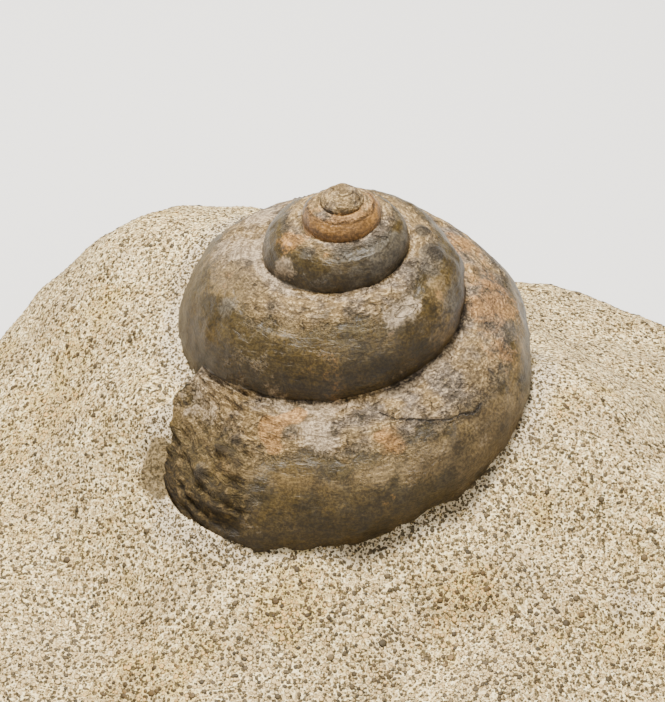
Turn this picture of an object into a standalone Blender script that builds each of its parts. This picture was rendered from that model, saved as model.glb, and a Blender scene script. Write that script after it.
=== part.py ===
"""A fossil slit shell in the block of oolitic limestone that it was found in.

The shell is one solid: a dextral, cone-shaped coil of whorls that widen from the apex down.
The block is one stone with a domed top and a sawn underside, and has a socket that the shell fills.
Metres, +Z up. The origin is the middle of the underside, and -Y is the side seen from the front.
"""

import math

import bmesh
import bpy
import numpy as np

MM = 0.001

# The block of limestone
BLOCK_HALF_X = 94.0 * MM
BLOCK_HALF_Y = 78.0 * MM
BLOCK_CORNER_POWER = 2.4
BLOCK_WAVES = ((2, 0.020, 0.6), (3, 0.026, 2.1), (5, 0.012, 4.0), (7, 0.008, 1.0))
BLOCK_TOP_POWER = 3.5
BLOCK_WIDEST_HEIGHT = 16.0 * MM
BLOCK_UNDERSIDE_SHARE = 0.90
BLOCK_LUMPS = ((46.0 * MM, 1.3 * MM, 3), (21.0 * MM, 0.6 * MM, 8))
BLOCK_SPOKES = 60
BLOCK_TOP_RINGS = 15
BLOCK_SIDE_RINGS = 4

# The dome of the block's top: its summit, and how it falls away on each side
SUMMIT_X = -29.0 * MM
SUMMIT_Y = 40.0 * MM
SUMMIT_HEIGHT = 65.4 * MM
RIDGE_SKEW = -0.60
FALL_RIGHT = (1.5 * MM, 0.275)
FALL_LEFT = (9.0 * MM, 0.41)
FALL_FRONT = (4.3 * MM, 0.453)
FALL_BACK = (6.0 * MM, 0.50)
MOUND_X = -42.0 * MM
MOUND_Y = 2.0 * MM
MOUND_RADIUS = 14.0 * MM
MOUND_HEIGHT = 6.0 * MM
SHELF_HEIGHT = 27.0 * MM
SHELF_BLEND = 9.0 * MM

# The shell: its axis, and the radius of its suture at the front of each whorl
AXIS_X = -6.0 * MM
AXIS_Y = 17.5 * MM
APEX_HEIGHT = 90.7 * MM
APEX_BLUNTNESS = 1.2 * MM
FIRST_WHORL = -5
SUTURE_RADII = tuple(r * MM for r in (1.25, 2.15, 3.95, 7.35, 13.5, 26.6, 45.5, 66.0))
CONE_SLOPE = 1.13
SHOULDER_POWER = 1.95
BROKEN_POWER = 1.05
SIDE_BULGE = 0.05
SPIRE_LEAN = 0.136
SPIRE_BEND = -5.0
APEX_TURN = -4.6
END_TURN = 0.17
BREAK_TURN = 0.04
BREAK_SHRINK = 0.50
BREAK_SINK = 3.0 * MM
BASE_HEIGHT = 31.0 * MM
ROWS_A_TURN = 50
WHORL_STEPS = 9
BASE_STEPS = 6

SOCKET_GAP = 0.35 * MM

SHELL_COLOUR = (0.24, 0.19, 0.13, 1.0)
BLOCK_COLOUR = (0.62, 0.56, 0.45, 1.0)


def smoothstep(value):
    """0 below 0, 1 above 1, and a soft S between."""
    value = np.clip(value, 0.0, 1.0)
    return value * value * (3.0 - 2.0 * value)


def lumps(x, y, z, wavelength, seed, waves=14):
    """A smooth random field about 1 high: a sum of plane waves in random directions."""
    draw = np.random.default_rng(seed)
    directions = draw.normal(size=(waves, 3))
    directions /= np.linalg.norm(directions, axis=1)[:, None]
    phases = draw.uniform(0.0, 2.0 * math.pi, waves)
    lengths = wavelength * draw.uniform(0.75, 1.35, waves)
    total = 0.0
    for (dx, dy, dz), phase, length in zip(directions, phases, lengths):
        total = total + np.sin(2.0 * math.pi / length * (dx * x + dy * y + dz * z) + phase)
    return total / math.sqrt(waves / 2.0)


def fall(distance, law):
    """How far the top has dropped at a distance from the summit: round at first, then an even slope."""
    bluntness, slope = law
    return np.sqrt(bluntness**2 + (slope * distance) ** 2) - bluntness


def block_outline(angle):
    """The block's plan radius in a direction: a rounded rectangle with a few low waves."""
    power = BLOCK_CORNER_POWER
    across = np.abs(np.cos(angle) / BLOCK_HALF_X) ** power
    along = np.abs(np.sin(angle) / BLOCK_HALF_Y) ** power
    radius = (across + along) ** (-1.0 / power)
    for count, size, phase in BLOCK_WAVES:
        radius = radius * (1.0 + size * np.sin(count * angle + phase))
    return radius


def outline_centre():
    """The middle of the outline's box, which the block is moved by so that its box is centred."""
    angle = np.linspace(0.0, 2.0 * math.pi, 721)
    x = block_outline(angle) * np.cos(angle)
    y = block_outline(angle) * np.sin(angle)
    return (x.min() + x.max()) / 2.0, (y.min() + y.max()) / 2.0


def dome_height(x, y):
    """The height of the block's top at a point of the plan, before its edge rounds off."""
    dx = x - SUMMIT_X
    dy = y - SUMMIT_Y - RIDGE_SKEW * dx
    drop_x = np.where(dx > 0.0, fall(dx, FALL_RIGHT), fall(dx, FALL_LEFT))
    drop_y = np.where(dy > 0.0, fall(dy, FALL_BACK), fall(dy, FALL_FRONT))
    from_mound = ((x - MOUND_X) ** 2 + (y - MOUND_Y) ** 2) / MOUND_RADIUS**2
    above_shelf = SUMMIT_HEIGHT - drop_x - drop_y - SHELF_HEIGHT
    above_shelf = (above_shelf + np.sqrt(above_shelf**2 + SHELF_BLEND**2)) / 2.0
    return SHELF_HEIGHT + above_shelf + MOUND_HEIGHT * np.exp(-from_mound)


def block_point(angle, turn):
    """A point of the block's skin: turn runs 0 to 1 over the top and 1 to 2 down and under the side."""
    over = np.clip(turn, 0.0, 1.0) * math.pi / 2.0
    under = np.clip(turn - 1.0, 0.0, 1.0) * math.pi / 2.0
    share = np.sin(over) ** (2.0 / BLOCK_TOP_POWER)
    level = np.cos(over) ** (2.0 / BLOCK_TOP_POWER)
    share = share * (1.0 - (1.0 - BLOCK_UNDERSIDE_SHARE) * (1.0 - np.cos(under)))
    middle_x, middle_y = outline_centre()
    x = block_outline(angle) * share * np.cos(angle) - middle_x
    y = block_outline(angle) * share * np.sin(angle) - middle_y
    top = BLOCK_WIDEST_HEIGHT + (dome_height(x, y) - BLOCK_WIDEST_HEIGHT) * level
    z = np.where(turn <= 1.0, top, BLOCK_WIDEST_HEIGHT * (1.0 - np.sin(under)))
    lift = sum(size * lumps(x, y, z, length, seed) for length, size, seed in BLOCK_LUMPS)
    inward = smoothstep(z / BLOCK_WIDEST_HEIGHT) * smoothstep(2.0 - turn)
    return x, y, z + lift * inward * level**2


def suture_radius(turn):
    """The suture's distance from the axis: a smooth curve in its logarithm through SUTURE_RADII."""
    logs = np.log(np.array(SUTURE_RADII))
    slopes = np.gradient(logs)
    place = np.clip(turn - FIRST_WHORL, 0.0, len(logs) - 1.001)
    step = np.floor(place).astype(int)
    part = place - step
    start = logs[step] * (1.0 + 2.0 * part) + slopes[step] * part
    stop = logs[step + 1] * (3.0 - 2.0 * part) - slopes[step + 1] * (1.0 - part)
    return np.exp(start * (1.0 - part) ** 2 + stop * part**2)


def cone_depth(radius):
    """How far below the apex a suture of this radius lies: an even slope with a blunt tip."""
    return CONE_SLOPE * (np.sqrt(radius**2 + APEX_BLUNTNESS**2) - APEX_BLUNTNESS)


def whorl_profile(turn, across):
    """Radius and depth below the apex on a whorl: across runs 0 to 1 from its upper to its lower suture."""
    inner = suture_radius(turn)
    broken = smoothstep((turn - BREAK_TURN) / (END_TURN - BREAK_TURN))
    width = (suture_radius(turn + 1.0) - inner) * (1.0 - BREAK_SHRINK * broken)
    swing = across * math.pi / 2.0
    power = 2.0 / (SHOULDER_POWER + (BROKEN_POWER - SHOULDER_POWER) * broken)
    outward = np.sin(swing) ** power + SIDE_BULGE * np.sin(2.0 * swing) * across
    downward = 1.0 - np.cos(swing) ** power
    return inner + width * outward, cone_depth(inner + width * downward) + BREAK_SINK * broken * across


def shell_point(turn, radius, depth):
    """A point of the shell in the row frame; turn 0 faces the front and the coil grows clockwise from above."""
    angle = 2.0 * math.pi * turn
    lean = SPIRE_LEAN * depth + SPIRE_BEND * depth**2
    return AXIS_X + lean - radius * np.sin(angle), AXIS_Y - radius * np.cos(angle), APEX_HEIGHT - depth


def make_shell(collection):
    """The shell: a whorl profile carried down the coil, closed by a tip, a base and the broken end."""
    bm = bmesh.new()
    rows = round((END_TURN - APEX_TURN) * ROWS_A_TURN)
    turns = APEX_TURN + np.arange(rows + 1) / ROWS_A_TURN
    steps = np.arange(WHORL_STEPS + 1) / WHORL_STEPS
    grid = []
    for turn in turns:
        radius, depth = whorl_profile(turn, steps)
        grid.append([bm.verts.new(point) for point in zip(*shell_point(turn, radius, depth))])
    # A whorl's lower suture is the upper suture of the whorl one turn on.
    for row in range(rows + 1 - ROWS_A_TURN):
        bm.verts.remove(grid[row][-1])
        grid[row][-1] = grid[row + ROWS_A_TURN][0]
    for row in range(rows):
        for step in range(WHORL_STEPS):
            corners = (grid[row][step], grid[row + 1][step], grid[row + 1][step + 1], grid[row][step + 1])
            bm.faces.new(corners)
    close_tip(bm, grid)
    close_base(bm, grid, turns)
    bmesh.ops.recalc_face_normals(bm, faces=bm.faces)
    return finish_object(bm, "slit_shell", collection, SHELL_COLOUR)


def close_tip(bm, grid):
    """Closes the apex with a fan over the first turn of the suture and the first row of the strip."""
    rim = [row[0] for row in grid[: ROWS_A_TURN + 1]] + grid[0][-2:0:-1]
    x, y, _ = shell_point(0.0, 0.0, 0.0)
    tip = bm.verts.new((x, y, APEX_HEIGHT))
    for here, there in zip(rim, rim[1:] + rim[:1]):
        bm.faces.new((tip, there, here))


def close_base(bm, grid, turns):
    """Closes the last turn below its periphery, down to the middle of the base, and caps the broken end."""
    depth_of_base = cone_depth(suture_radius(END_TURN)) + BASE_HEIGHT
    x, y, z = shell_point(0.0, 0.0, depth_of_base)
    middle = bm.verts.new((x, y, z))
    ribs = []
    last_turn = range(len(grid) - 1 - ROWS_A_TURN, len(grid))
    for row in last_turn:
        edge_radius, edge_depth = whorl_profile(turns[row], 1.0)
        rib = [grid[row][-1]]
        for step in range(1, BASE_STEPS):
            swing = step / BASE_STEPS * math.pi / 2.0
            radius = edge_radius * math.cos(swing)
            depth = edge_depth + (depth_of_base - edge_depth) * math.sin(swing)
            rib.append(bm.verts.new(shell_point(turns[row], radius, depth)))
        ribs.append(rib)
    for left, right in zip(ribs, ribs[1:]):
        for step in range(BASE_STEPS - 1):
            bm.faces.new((left[step], right[step], right[step + 1], left[step + 1]))
        bm.faces.new((left[-1], right[-1], middle))
    bm.faces.new(grid[-1] + ribs[-1][1:] + [middle] + ribs[0][:0:-1])


def make_block(collection):
    """The block: its domed top and sides as rings round a centre, and a flat underside."""
    bm = bmesh.new()
    angles = np.arange(BLOCK_SPOKES) / BLOCK_SPOKES * 2.0 * math.pi
    rings = []
    for ring in range(1, BLOCK_TOP_RINGS + BLOCK_SIDE_RINGS + 1):
        if ring <= BLOCK_TOP_RINGS:
            turn = (ring / BLOCK_TOP_RINGS) ** 1.5
        else:
            turn = 1.0 + (ring - BLOCK_TOP_RINGS) / BLOCK_SIDE_RINGS
        rings.append([bm.verts.new(point) for point in zip(*block_point(angles, turn))])
    x, y, z = block_point(np.zeros(1), 0.0)
    centre = bm.verts.new((x[0], y[0], z[0]))
    for spoke in range(BLOCK_SPOKES):
        beside = (spoke + 1) % BLOCK_SPOKES
        bm.faces.new((centre, rings[0][spoke], rings[0][beside]))
        for inner, outer in zip(rings, rings[1:]):
            bm.faces.new((inner[spoke], outer[spoke], outer[beside], inner[beside]))
    bm.faces.new(rings[-1][::-1])
    bmesh.ops.recalc_face_normals(bm, faces=bm.faces)
    return finish_object(bm, "limestone_matrix", collection, BLOCK_COLOUR)


def cut_socket(block, shell, cutters):
    """Cuts the shell's place out of the block, a hair wider than the shell all round."""
    bm = bmesh.new()
    bm.from_mesh(shell.data)
    bm.normal_update()
    moved = [vert.co + vert.normal * SOCKET_GAP for vert in bm.verts]
    for vert, place in zip(bm.verts, moved):
        vert.co = place
    cutter = finish_object(bm, "socket_cutter", cutters, SHELL_COLOUR)
    cutter.hide_render = True
    cutter.display_type = "WIRE"
    cut = block.modifiers.new("Socket", "BOOLEAN")
    cut.operation = "DIFFERENCE"
    cut.solver = "EXACT"
    cut.object = cutter


def finish_object(bm, name, collection, colour):
    """Makes a named object with its own material from a mesh being built."""
    bmesh.ops.triangulate(bm, faces=bm.faces)
    mesh = bpy.data.meshes.new(name)
    bm.to_mesh(mesh)
    bm.free()
    mesh.shade_smooth()
    material = bpy.data.materials.new(name)
    material.use_nodes = True
    shader = material.node_tree.nodes["Principled BSDF"]
    shader.inputs["Base Color"].default_value = colour
    shader.inputs["Roughness"].default_value = 0.7
    shader.inputs["Metallic"].default_value = 0.0
    mesh.materials.append(material)
    made = bpy.data.objects.new(name, mesh)
    collection.objects.link(made)
    return made


def main():
    """Builds the shell and the block, and cuts the shell's socket in the block."""
    for old in list(bpy.data.objects):
        bpy.data.objects.remove(old)
    collection = bpy.data.collections.new("fossil_slit_shell")
    cutters = bpy.data.collections.new("cutters")
    bpy.context.scene.collection.children.link(collection)
    bpy.context.scene.collection.children.link(cutters)
    shell = make_shell(collection)
    block = make_block(collection)
    cut_socket(block, shell, cutters)


main()
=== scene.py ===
"""A fossil slit shell in its block of oolitic limestone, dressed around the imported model.

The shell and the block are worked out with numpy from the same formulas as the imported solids, in metres
and in the same frame, and take their fine relief here: worn spiral lines, pits, a crack, the broken end,
the crust at the contact and the round grains of the stone.
"""

from __future__ import annotations

import logging
import math
from dataclasses import dataclass, field
from enum import Enum

import bpy
import numpy as np
from mathutils import Euler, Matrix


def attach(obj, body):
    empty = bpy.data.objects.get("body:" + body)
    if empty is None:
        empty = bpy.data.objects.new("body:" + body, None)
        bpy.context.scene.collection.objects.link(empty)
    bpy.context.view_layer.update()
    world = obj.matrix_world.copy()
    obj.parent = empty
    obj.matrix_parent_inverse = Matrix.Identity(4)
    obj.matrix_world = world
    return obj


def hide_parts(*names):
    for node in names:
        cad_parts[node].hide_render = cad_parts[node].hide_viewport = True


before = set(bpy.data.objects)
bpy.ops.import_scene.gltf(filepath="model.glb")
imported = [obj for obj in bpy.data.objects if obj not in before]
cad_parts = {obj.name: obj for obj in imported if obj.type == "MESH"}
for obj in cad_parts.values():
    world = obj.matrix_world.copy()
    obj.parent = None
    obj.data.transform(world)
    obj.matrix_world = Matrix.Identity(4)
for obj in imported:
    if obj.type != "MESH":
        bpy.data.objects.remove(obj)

MM = 0.001
FAR_BELOW = -1.0
OCTAVE_SHARE = 0.55
OCTAVE_SHIFT = 0.37
Colour = tuple[float, float, float]
Place = tuple[float, float, float]
Span = tuple[float, float]
PatchRow = tuple[float, float, float, float, float]
Socket = bpy.types.NodeSocket
Value = Socket | float | Colour
log = logging.getLogger("slit_shell")


class Channel(Enum):
    """The kinds of patch that the shell's finish tells apart, each kept as an attribute of its mesh."""

    RUST = "rust"
    CHALK = "chalk"
    # sandy patches, two of which are painted sheen
    SLATE = "slate"
    SAND_AND_SHEEN = "sand_and_sheen"
    AMBER = "amber"


# Noise fields

def smoothstep(value: np.ndarray) -> np.ndarray:
    """0 below 0, 1 above 1, and a soft S between."""
    value = np.clip(value, 0.0, 1.0)
    return value * value * (3.0 - 2.0 * value)


def rise(value: np.ndarray, start: float, width: float) -> np.ndarray:
    """0 up to the start, 1 past it by the width, and a soft S between."""
    return smoothstep((value - start) / width)


def fall(value: np.ndarray, end: float, width: float) -> np.ndarray:
    """1 until the width before the end, 0 past the end, and a soft S between."""
    return smoothstep((end - value) / width)


def hump(value: np.ndarray, middle: float, width: float) -> np.ndarray:
    """A bell curve: 1 at its middle and 1 divided by e at its width from there."""
    return np.exp(-(((value - middle) / width) ** 2))


def soft_spot(points: np.ndarray, middle: Place, size: float, sharpness: float = 1.0) -> np.ndarray:
    """A round spot, 1 in its middle: a bell curve of the distance from a place in millimetres."""
    distance = np.linalg.norm(points / MM - np.array(middle), axis=-1)
    return np.exp(-((distance / size) ** 2) * sharpness)


def hashed(cells: np.ndarray, seed: int) -> np.ndarray:
    """A number from 0 to 1 for each lattice cell.

    Args:
        cells: whole-number places, three to a row.
        seed: which set of numbers.

    Returns:
        One number for each row, by multiplying and folding the bits of the three places.
    """
    mixed = (
        cells[..., 0].astype(np.uint32) * np.uint32(73856093)
        ^ cells[..., 1].astype(np.uint32) * np.uint32(19349663)
        ^ cells[..., 2].astype(np.uint32) * np.uint32(83492791)
        ^ np.uint32(seed * 2654435761 % 2**32)
    )
    mixed = (mixed ^ (mixed >> np.uint32(15))) * np.uint32(2246822519)
    mixed = (mixed ^ (mixed >> np.uint32(13))) * np.uint32(3266489917)
    mixed = mixed ^ (mixed >> np.uint32(16))
    return mixed.astype(np.float64) / 2.0**32


def soft_noise(points: np.ndarray, size: float, seed: int) -> np.ndarray:
    """Smooth random hills from -1 to 1: lattice numbers blended with an S curve along each axis.

    Args:
        points: places in metres, three to a row.
        size: the lattice's pitch in metres.
        seed: which set of numbers.

    Returns:
        One height for each place.
    """
    scaled = points / size
    cell = np.floor(scaled).astype(np.int64)
    part = scaled - cell
    part = part * part * (3.0 - 2.0 * part)
    total = np.zeros(points.shape[:-1])
    for corner in np.ndindex(2, 2, 2):
        weight = np.prod(np.where(np.array(corner), part, 1.0 - part), axis=-1)
        total += weight * hashed(cell + np.array(corner), seed)
    return 2.0 * total - 1.0


def fractal_noise(points: np.ndarray, size: float, octaves: int, seed: int) -> np.ndarray:
    """Soft noise summed over octaves, each with half the pitch and a share of the height of the last.

    Args:
        points: places, three to a row.
        size: the first octave's pitch, in the places' unit.
        octaves: how many octaves.
        seed: which set of numbers.

    Returns:
        One height for each place.
    """
    total = np.zeros(points.shape[:-1])
    for octave in range(octaves):
        moved = points + OCTAVE_SHIFT * octave * size
        total += OCTAVE_SHARE**octave * soft_noise(moved, size / 2**octave, seed + octave)
    return total


def nearest_seed(points: np.ndarray, size: float, seed: int) -> np.ndarray:
    """The distance to the nearest of a set of scattered seeds, one in each lattice cell, in cell pitches.

    Args:
        points: places in metres, three to a row.
        size: the lattice's pitch in metres.
        seed: which set of seeds.

    Returns:
        One distance for each place.
    """
    scaled = points / size
    cell = np.floor(scaled).astype(np.int64)
    best = np.full(points.shape[:-1], 9.0)
    for offset in np.ndindex(3, 3, 3):
        near = cell + np.array(offset) - 1
        jitter = np.stack([hashed(near, seed + axis) for axis in range(3)], axis=-1)
        best = np.minimum(best, np.linalg.norm(near + jitter - scaled, axis=-1))
    return best


def plane_waves(x: np.ndarray, y: np.ndarray, z: np.ndarray, wavelength: float, seed: int) -> np.ndarray:
    """The block's broad lumps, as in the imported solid: a sum of 14 plane waves in random directions.

    Args:
        x: places in metres.
        y: places in metres.
        z: places in metres.
        wavelength: about how long the waves are.
        seed: the source of the random directions, phases and lengths.

    Returns:
        One height for each place, about -1 to 1.
    """
    waves = 14
    draw = np.random.default_rng(seed)
    directions = draw.normal(size=(waves, 3))
    directions /= np.linalg.norm(directions, axis=1)[:, None]
    phases = draw.uniform(0.0, 2.0 * math.pi, waves)
    lengths = wavelength * draw.uniform(0.75, 1.35, waves)
    total = 0.0
    for (dx, dy, dz), phase, length in zip(directions, phases, lengths):
        total = total + np.sin(2.0 * math.pi / length * (dx * x + dy * y + dz * z) + phase)
    return total / math.sqrt(waves / 2.0)


@dataclass(frozen=True)
class Lumps:
    """Relief from noise.

    Args:
        height: its height in millimetres.
        pitch: the size of its largest lumps, in the unit of the places that it is read at.
        octaves: how many sizes of lump it has.
        seed: which set of numbers.
    """

    height: float
    pitch: float
    octaves: int
    seed: int

    def at(self, points: np.ndarray) -> np.ndarray:
        """The height at each place."""
        return self.height * fractal_noise(points, self.pitch, self.octaves, self.seed)


@dataclass(frozen=True)
class Stretch:
    """A stretch of the coil or of the whorl's width, with soft ends.

    Args:
        start: where it starts.
        start_width: how long it takes to reach 1.
        end: where it has ended.
        end_width: how long it takes to fall from 1.
    """

    start: float
    start_width: float
    end: float
    end_width: float

    def at(self, value: np.ndarray) -> np.ndarray:
        """1 inside the stretch and 0 outside."""
        return rise(value, self.start, self.start_width) * fall(value, self.end, self.end_width)


@dataclass(frozen=True)
class Pitting:
    """Scattered bowls.

    Args:
        depth: how deep they are in millimetres.
        pitch: how far they are from each other in metres.
        radius: their radius in pitches.
        seed: which set of places.
    """

    depth: float
    pitch: float
    radius: float
    seed: int

    def at(self, points: np.ndarray) -> np.ndarray:
        """The depth at each place."""
        return self.depth * smoothstep(1.0 - nearest_seed(points, self.pitch, self.seed) / self.radius)


# Meshes

def grid_normals(grid: np.ndarray) -> np.ndarray:
    """Unit normals of a grid of places: the cross product of its two central differences."""
    along = np.gradient(grid, axis=0)
    across = np.gradient(grid, axis=1)
    normal = np.cross(along, across)
    return normal / np.maximum(np.linalg.norm(normal, axis=-1, keepdims=True), 1e-12)


def new_piece(
    name: str, verts: np.ndarray, faces: list[np.ndarray], attributes: dict[str, np.ndarray]
) -> bpy.types.Object:
    """Makes a smooth-shaded object from whole arrays.

    Args:
        name: the piece's name.
        verts: its points in metres.
        faces: arrays of corner numbers, one array for each number of corners.
        attributes: a number for each point, by attribute name.

    Returns:
        The new object, linked to the scene.
    """
    mesh = bpy.data.meshes.new(name)
    corners = np.concatenate([block.ravel() for block in faces])
    counts = np.concatenate([np.full(len(block), block.shape[1]) for block in faces])
    starts = np.concatenate(([0], np.cumsum(counts)[:-1]))
    mesh.vertices.add(len(verts))
    mesh.vertices.foreach_set("co", verts.astype(np.float32).ravel())
    mesh.loops.add(len(corners))
    mesh.loops.foreach_set("vertex_index", corners.astype(np.int32))
    mesh.polygons.add(len(counts))
    mesh.polygons.foreach_set("loop_start", starts.astype(np.int32))
    mesh.update(calc_edges=True)
    mesh.validate()
    mesh.shade_smooth()
    for key, values in attributes.items():
        layer = mesh.attributes.new(key, "FLOAT", "POINT")
        layer.data.foreach_set("value", values.astype(np.float32))
    made = bpy.data.objects.new(name, mesh)
    bpy.context.scene.collection.objects.link(made)
    return made


# Materials

@dataclass(frozen=True)
class Overlay:
    """A colour that is laid over another where a mask passes its window.

    Args:
        tint: the colour.
        span: the mask's values where it starts and where it is full.
        most: how strongly it covers where it is full.
        crumble: how far noise frays its edge, as a share of the usual.
    """

    tint: Colour
    span: Span
    most: float = 1.0
    crumble: float = 1.0


@dataclass(frozen=True)
class Tone:
    """A darkening and lightening that follows a noise.

    Args:
        span: the noise's values where it is darkest and where it is lightest.
        low: what the colour is multiplied by where it is darkest.
        high: what the colour is multiplied by where it is lightest.
        share: how much of the effect is used.
    """

    span: Span
    low: Colour
    high: Colour
    share: float = 1.0


class NodeBench:
    """A material being wired: short calls that add a node and return its output socket."""

    def __init__(self, name: str) -> None:
        """Starts a material with a Principled surface."""
        self.material = bpy.data.materials.new(name)
        self.material.use_nodes = True
        self.tree = self.material.node_tree
        self.surface = self.tree.nodes["Principled BSDF"]
        self.place = self.add("ShaderNodeTexCoord").outputs["Object"]

    def add(self, kind: str) -> bpy.types.Node:
        """Adds a node of a kind."""
        return self.tree.nodes.new(kind)

    def plug(self, value: Value, socket: Socket) -> None:
        """Links an output to an input, or sets the input where the value is a plain number or colour."""
        if isinstance(value, bpy.types.NodeSocket):
            self.tree.links.new(value, socket)
        elif isinstance(value, tuple):
            socket.default_value = (*value, 1.0)[: len(socket.default_value)]
        else:
            socket.default_value = value

    def noise(self, scale: float, detail: float = 3.0, rough: float = 0.55,
              place: Socket | None = None, warp: float = 0.0) -> Socket:
        """Noise from 0 to 1.

        Args:
            scale: lumps a metre, or lumps a unit of the given places.
            detail: how many finer layers it has.
            rough: how strong the finer layers are.
            place: where it is read, the object's own place if none is given.
            warp: how far its lumps are swirled.

        Returns:
            The noise.
        """
        node = self.add("ShaderNodeTexNoise")
        self.plug(place or self.place, node.inputs["Vector"])
        values = {"Scale": scale, "Detail": detail, "Roughness": rough, "Distortion": warp}
        for name, value in values.items():
            node.inputs[name].default_value = value
        return node.outputs["Fac"]

    def cells(self, scale: float) -> tuple[Socket, Socket]:
        """Distance and colour of the nearest scattered seed."""
        node = self.add("ShaderNodeTexVoronoi")
        self.plug(self.place, node.inputs["Vector"])
        node.inputs["Scale"].default_value = scale
        return node.outputs["Distance"], node.outputs["Color"]

    def attribute(self, name: str) -> Socket:
        """An attribute of the mesh as a number."""
        node = self.add("ShaderNodeAttribute")
        node.attribute_name = name
        return node.outputs["Fac"]

    def along_coil(self, along: float, across: float) -> Socket:
        """The shell's own millimetres along and across the coil, kept as attributes, times two scales."""
        node = self.add("ShaderNodeCombineXYZ")
        self.plug(self.times(self.attribute("coil_along"), along), node.inputs["X"])
        self.plug(self.times(self.attribute("coil_across"), across), node.inputs["Y"])
        return node.outputs["Vector"]

    def math(self, operation: str, first: Value, second: Value = 0.0, third: Value = 0.0) -> Socket:
        """A sum on numbers."""
        node = self.add("ShaderNodeMath")
        node.operation = operation
        for value, socket in zip((first, second, third), node.inputs):
            self.plug(value, socket)
        return node.outputs[0]

    def times(self, first: Value, second: Value) -> Socket:
        """One value times another."""
        return self.math("MULTIPLY", first, second)

    def line(self, value: Value, slope: float, start: Value) -> Socket:
        """A value times a slope, plus a start."""
        return self.math("MULTIPLY_ADD", value, slope, start)

    def shares(self, *parts: tuple[Value, float]) -> Socket:
        """Values added up, each times its share."""
        total = 0.0
        for value, share in parts:
            total = self.line(value, share, total)
        return total

    def frayed(self, value: Value, *noises: tuple[Socket, float]) -> Socket:
        """A value with noises added to it, each spread evenly about 0 over its own width."""
        for noise, width in noises:
            value = self.math("ADD", value, self.line(noise, width, -0.5 * width))
        return value

    def window(self, value: Value, span: Span) -> Socket:
        """0 at the span's first value, 1 at its second one, and soft between."""
        low, high = span
        node = self.add("ShaderNodeMapRange")
        node.interpolation_type = "SMOOTHSTEP"
        self.plug(value, node.inputs["Value"])
        node.inputs["From Min"].default_value = min(low, high)
        node.inputs["From Max"].default_value = max(low, high)
        node.inputs["To Min"].default_value = 0.0 if low < high else 1.0
        node.inputs["To Max"].default_value = 1.0 if low < high else 0.0
        return node.outputs["Result"]

    def mix(self, amount: Value, first: Value, second: Value, blend: str = "MIX") -> Socket:
        """Mixes two colours.

        Args:
            amount: 0 for the first to 1 for the second.
            first: the first colour.
            second: the second colour.
            blend: how the second is laid over the first.

        Returns:
            The colour.
        """
        node = self.add("ShaderNodeMix")
        node.data_type = "RGBA"
        node.blend_type = blend
        colour_inputs = (node.inputs[0], node.inputs[6], node.inputs[7])
        for value, socket in zip((amount, first, second), colour_inputs):
            self.plug(value, socket)
        return node.outputs[2]

    def cover(self, colour: Value, mask: Value, over: Overlay, within: Value = 1.0) -> Socket:
        """Lays a colour over another where a mask passes its window, within a second mask.

        Args:
            colour: what lies below.
            mask: the mask whose window counts.
            over: the colour laid over it, with its window and its most.
            within: a second mask from 0 to 1.

        Returns:
            The colour.
        """
        amount = self.times(self.times(self.window(mask, over.span), over.most), within)
        return self.mix(amount, colour, over.tint)

    def shade(self, colour: Value, noise: Socket, tone: Tone, share: Value | None = None) -> Socket:
        """Darkens and lightens a colour after a noise.

        Args:
            colour: the colour.
            noise: the noise that it follows.
            tone: the window and the two multipliers.
            share: how much of the effect is used, in place of the tone's own share.

        Returns:
            The colour.
        """
        factor = self.mix(self.window(noise, tone.span), tone.low, tone.high)
        return self.mix(tone.share if share is None else share, colour, factor, "MULTIPLY")

    def finish(
        self, colour: Value, roughness: Value, height: Value, depth: float, specular: float
    ) -> bpy.types.Material:
        """Plugs the colour, the roughness and a bump of a depth in metres into the surface.

        Args:
            colour: the base colour.
            roughness: the surface's roughness.
            height: the bump's height, about 0 to 1.
            depth: the metres that a height of 1 stands for.
            specular: the strength of the highlight.

        Returns:
            The finished material.
        """
        bump = self.add("ShaderNodeBump")
        bump.inputs["Strength"].default_value = 1.0
        bump.inputs["Distance"].default_value = depth
        self.plug(height, bump.inputs["Height"])
        self.plug(colour, self.surface.inputs["Base Color"])
        self.plug(roughness, self.surface.inputs["Roughness"])
        self.plug(bump.outputs["Normal"], self.surface.inputs["Normal"])
        self.surface.inputs["Specular IOR Level"].default_value = specular
        return self.material


class ShellNoises:
    """The noises that every part of the shell's finish shares, from coarse to fine."""

    def __init__(self, bench: NodeBench) -> None:
        """Adds the noises to a material; the last two are drawn out along the coil."""
        self.cloud = bench.noise(62.0, 3.0, 0.5)
        self.blotch = bench.noise(165.0, 4.0, 0.6)
        self.medium = bench.noise(520.0, 5.0, 0.64)
        self.fine = bench.noise(1900.0, 4.0, 0.68)
        self.wrinkle = bench.noise(1.0, 4.0, 0.64, bench.along_coil(0.42, 1.15), 0.6)
        self.ribs = bench.noise(1.0, 5.0, 0.66, bench.along_coil(0.42, 0.80), 0.7)


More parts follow.
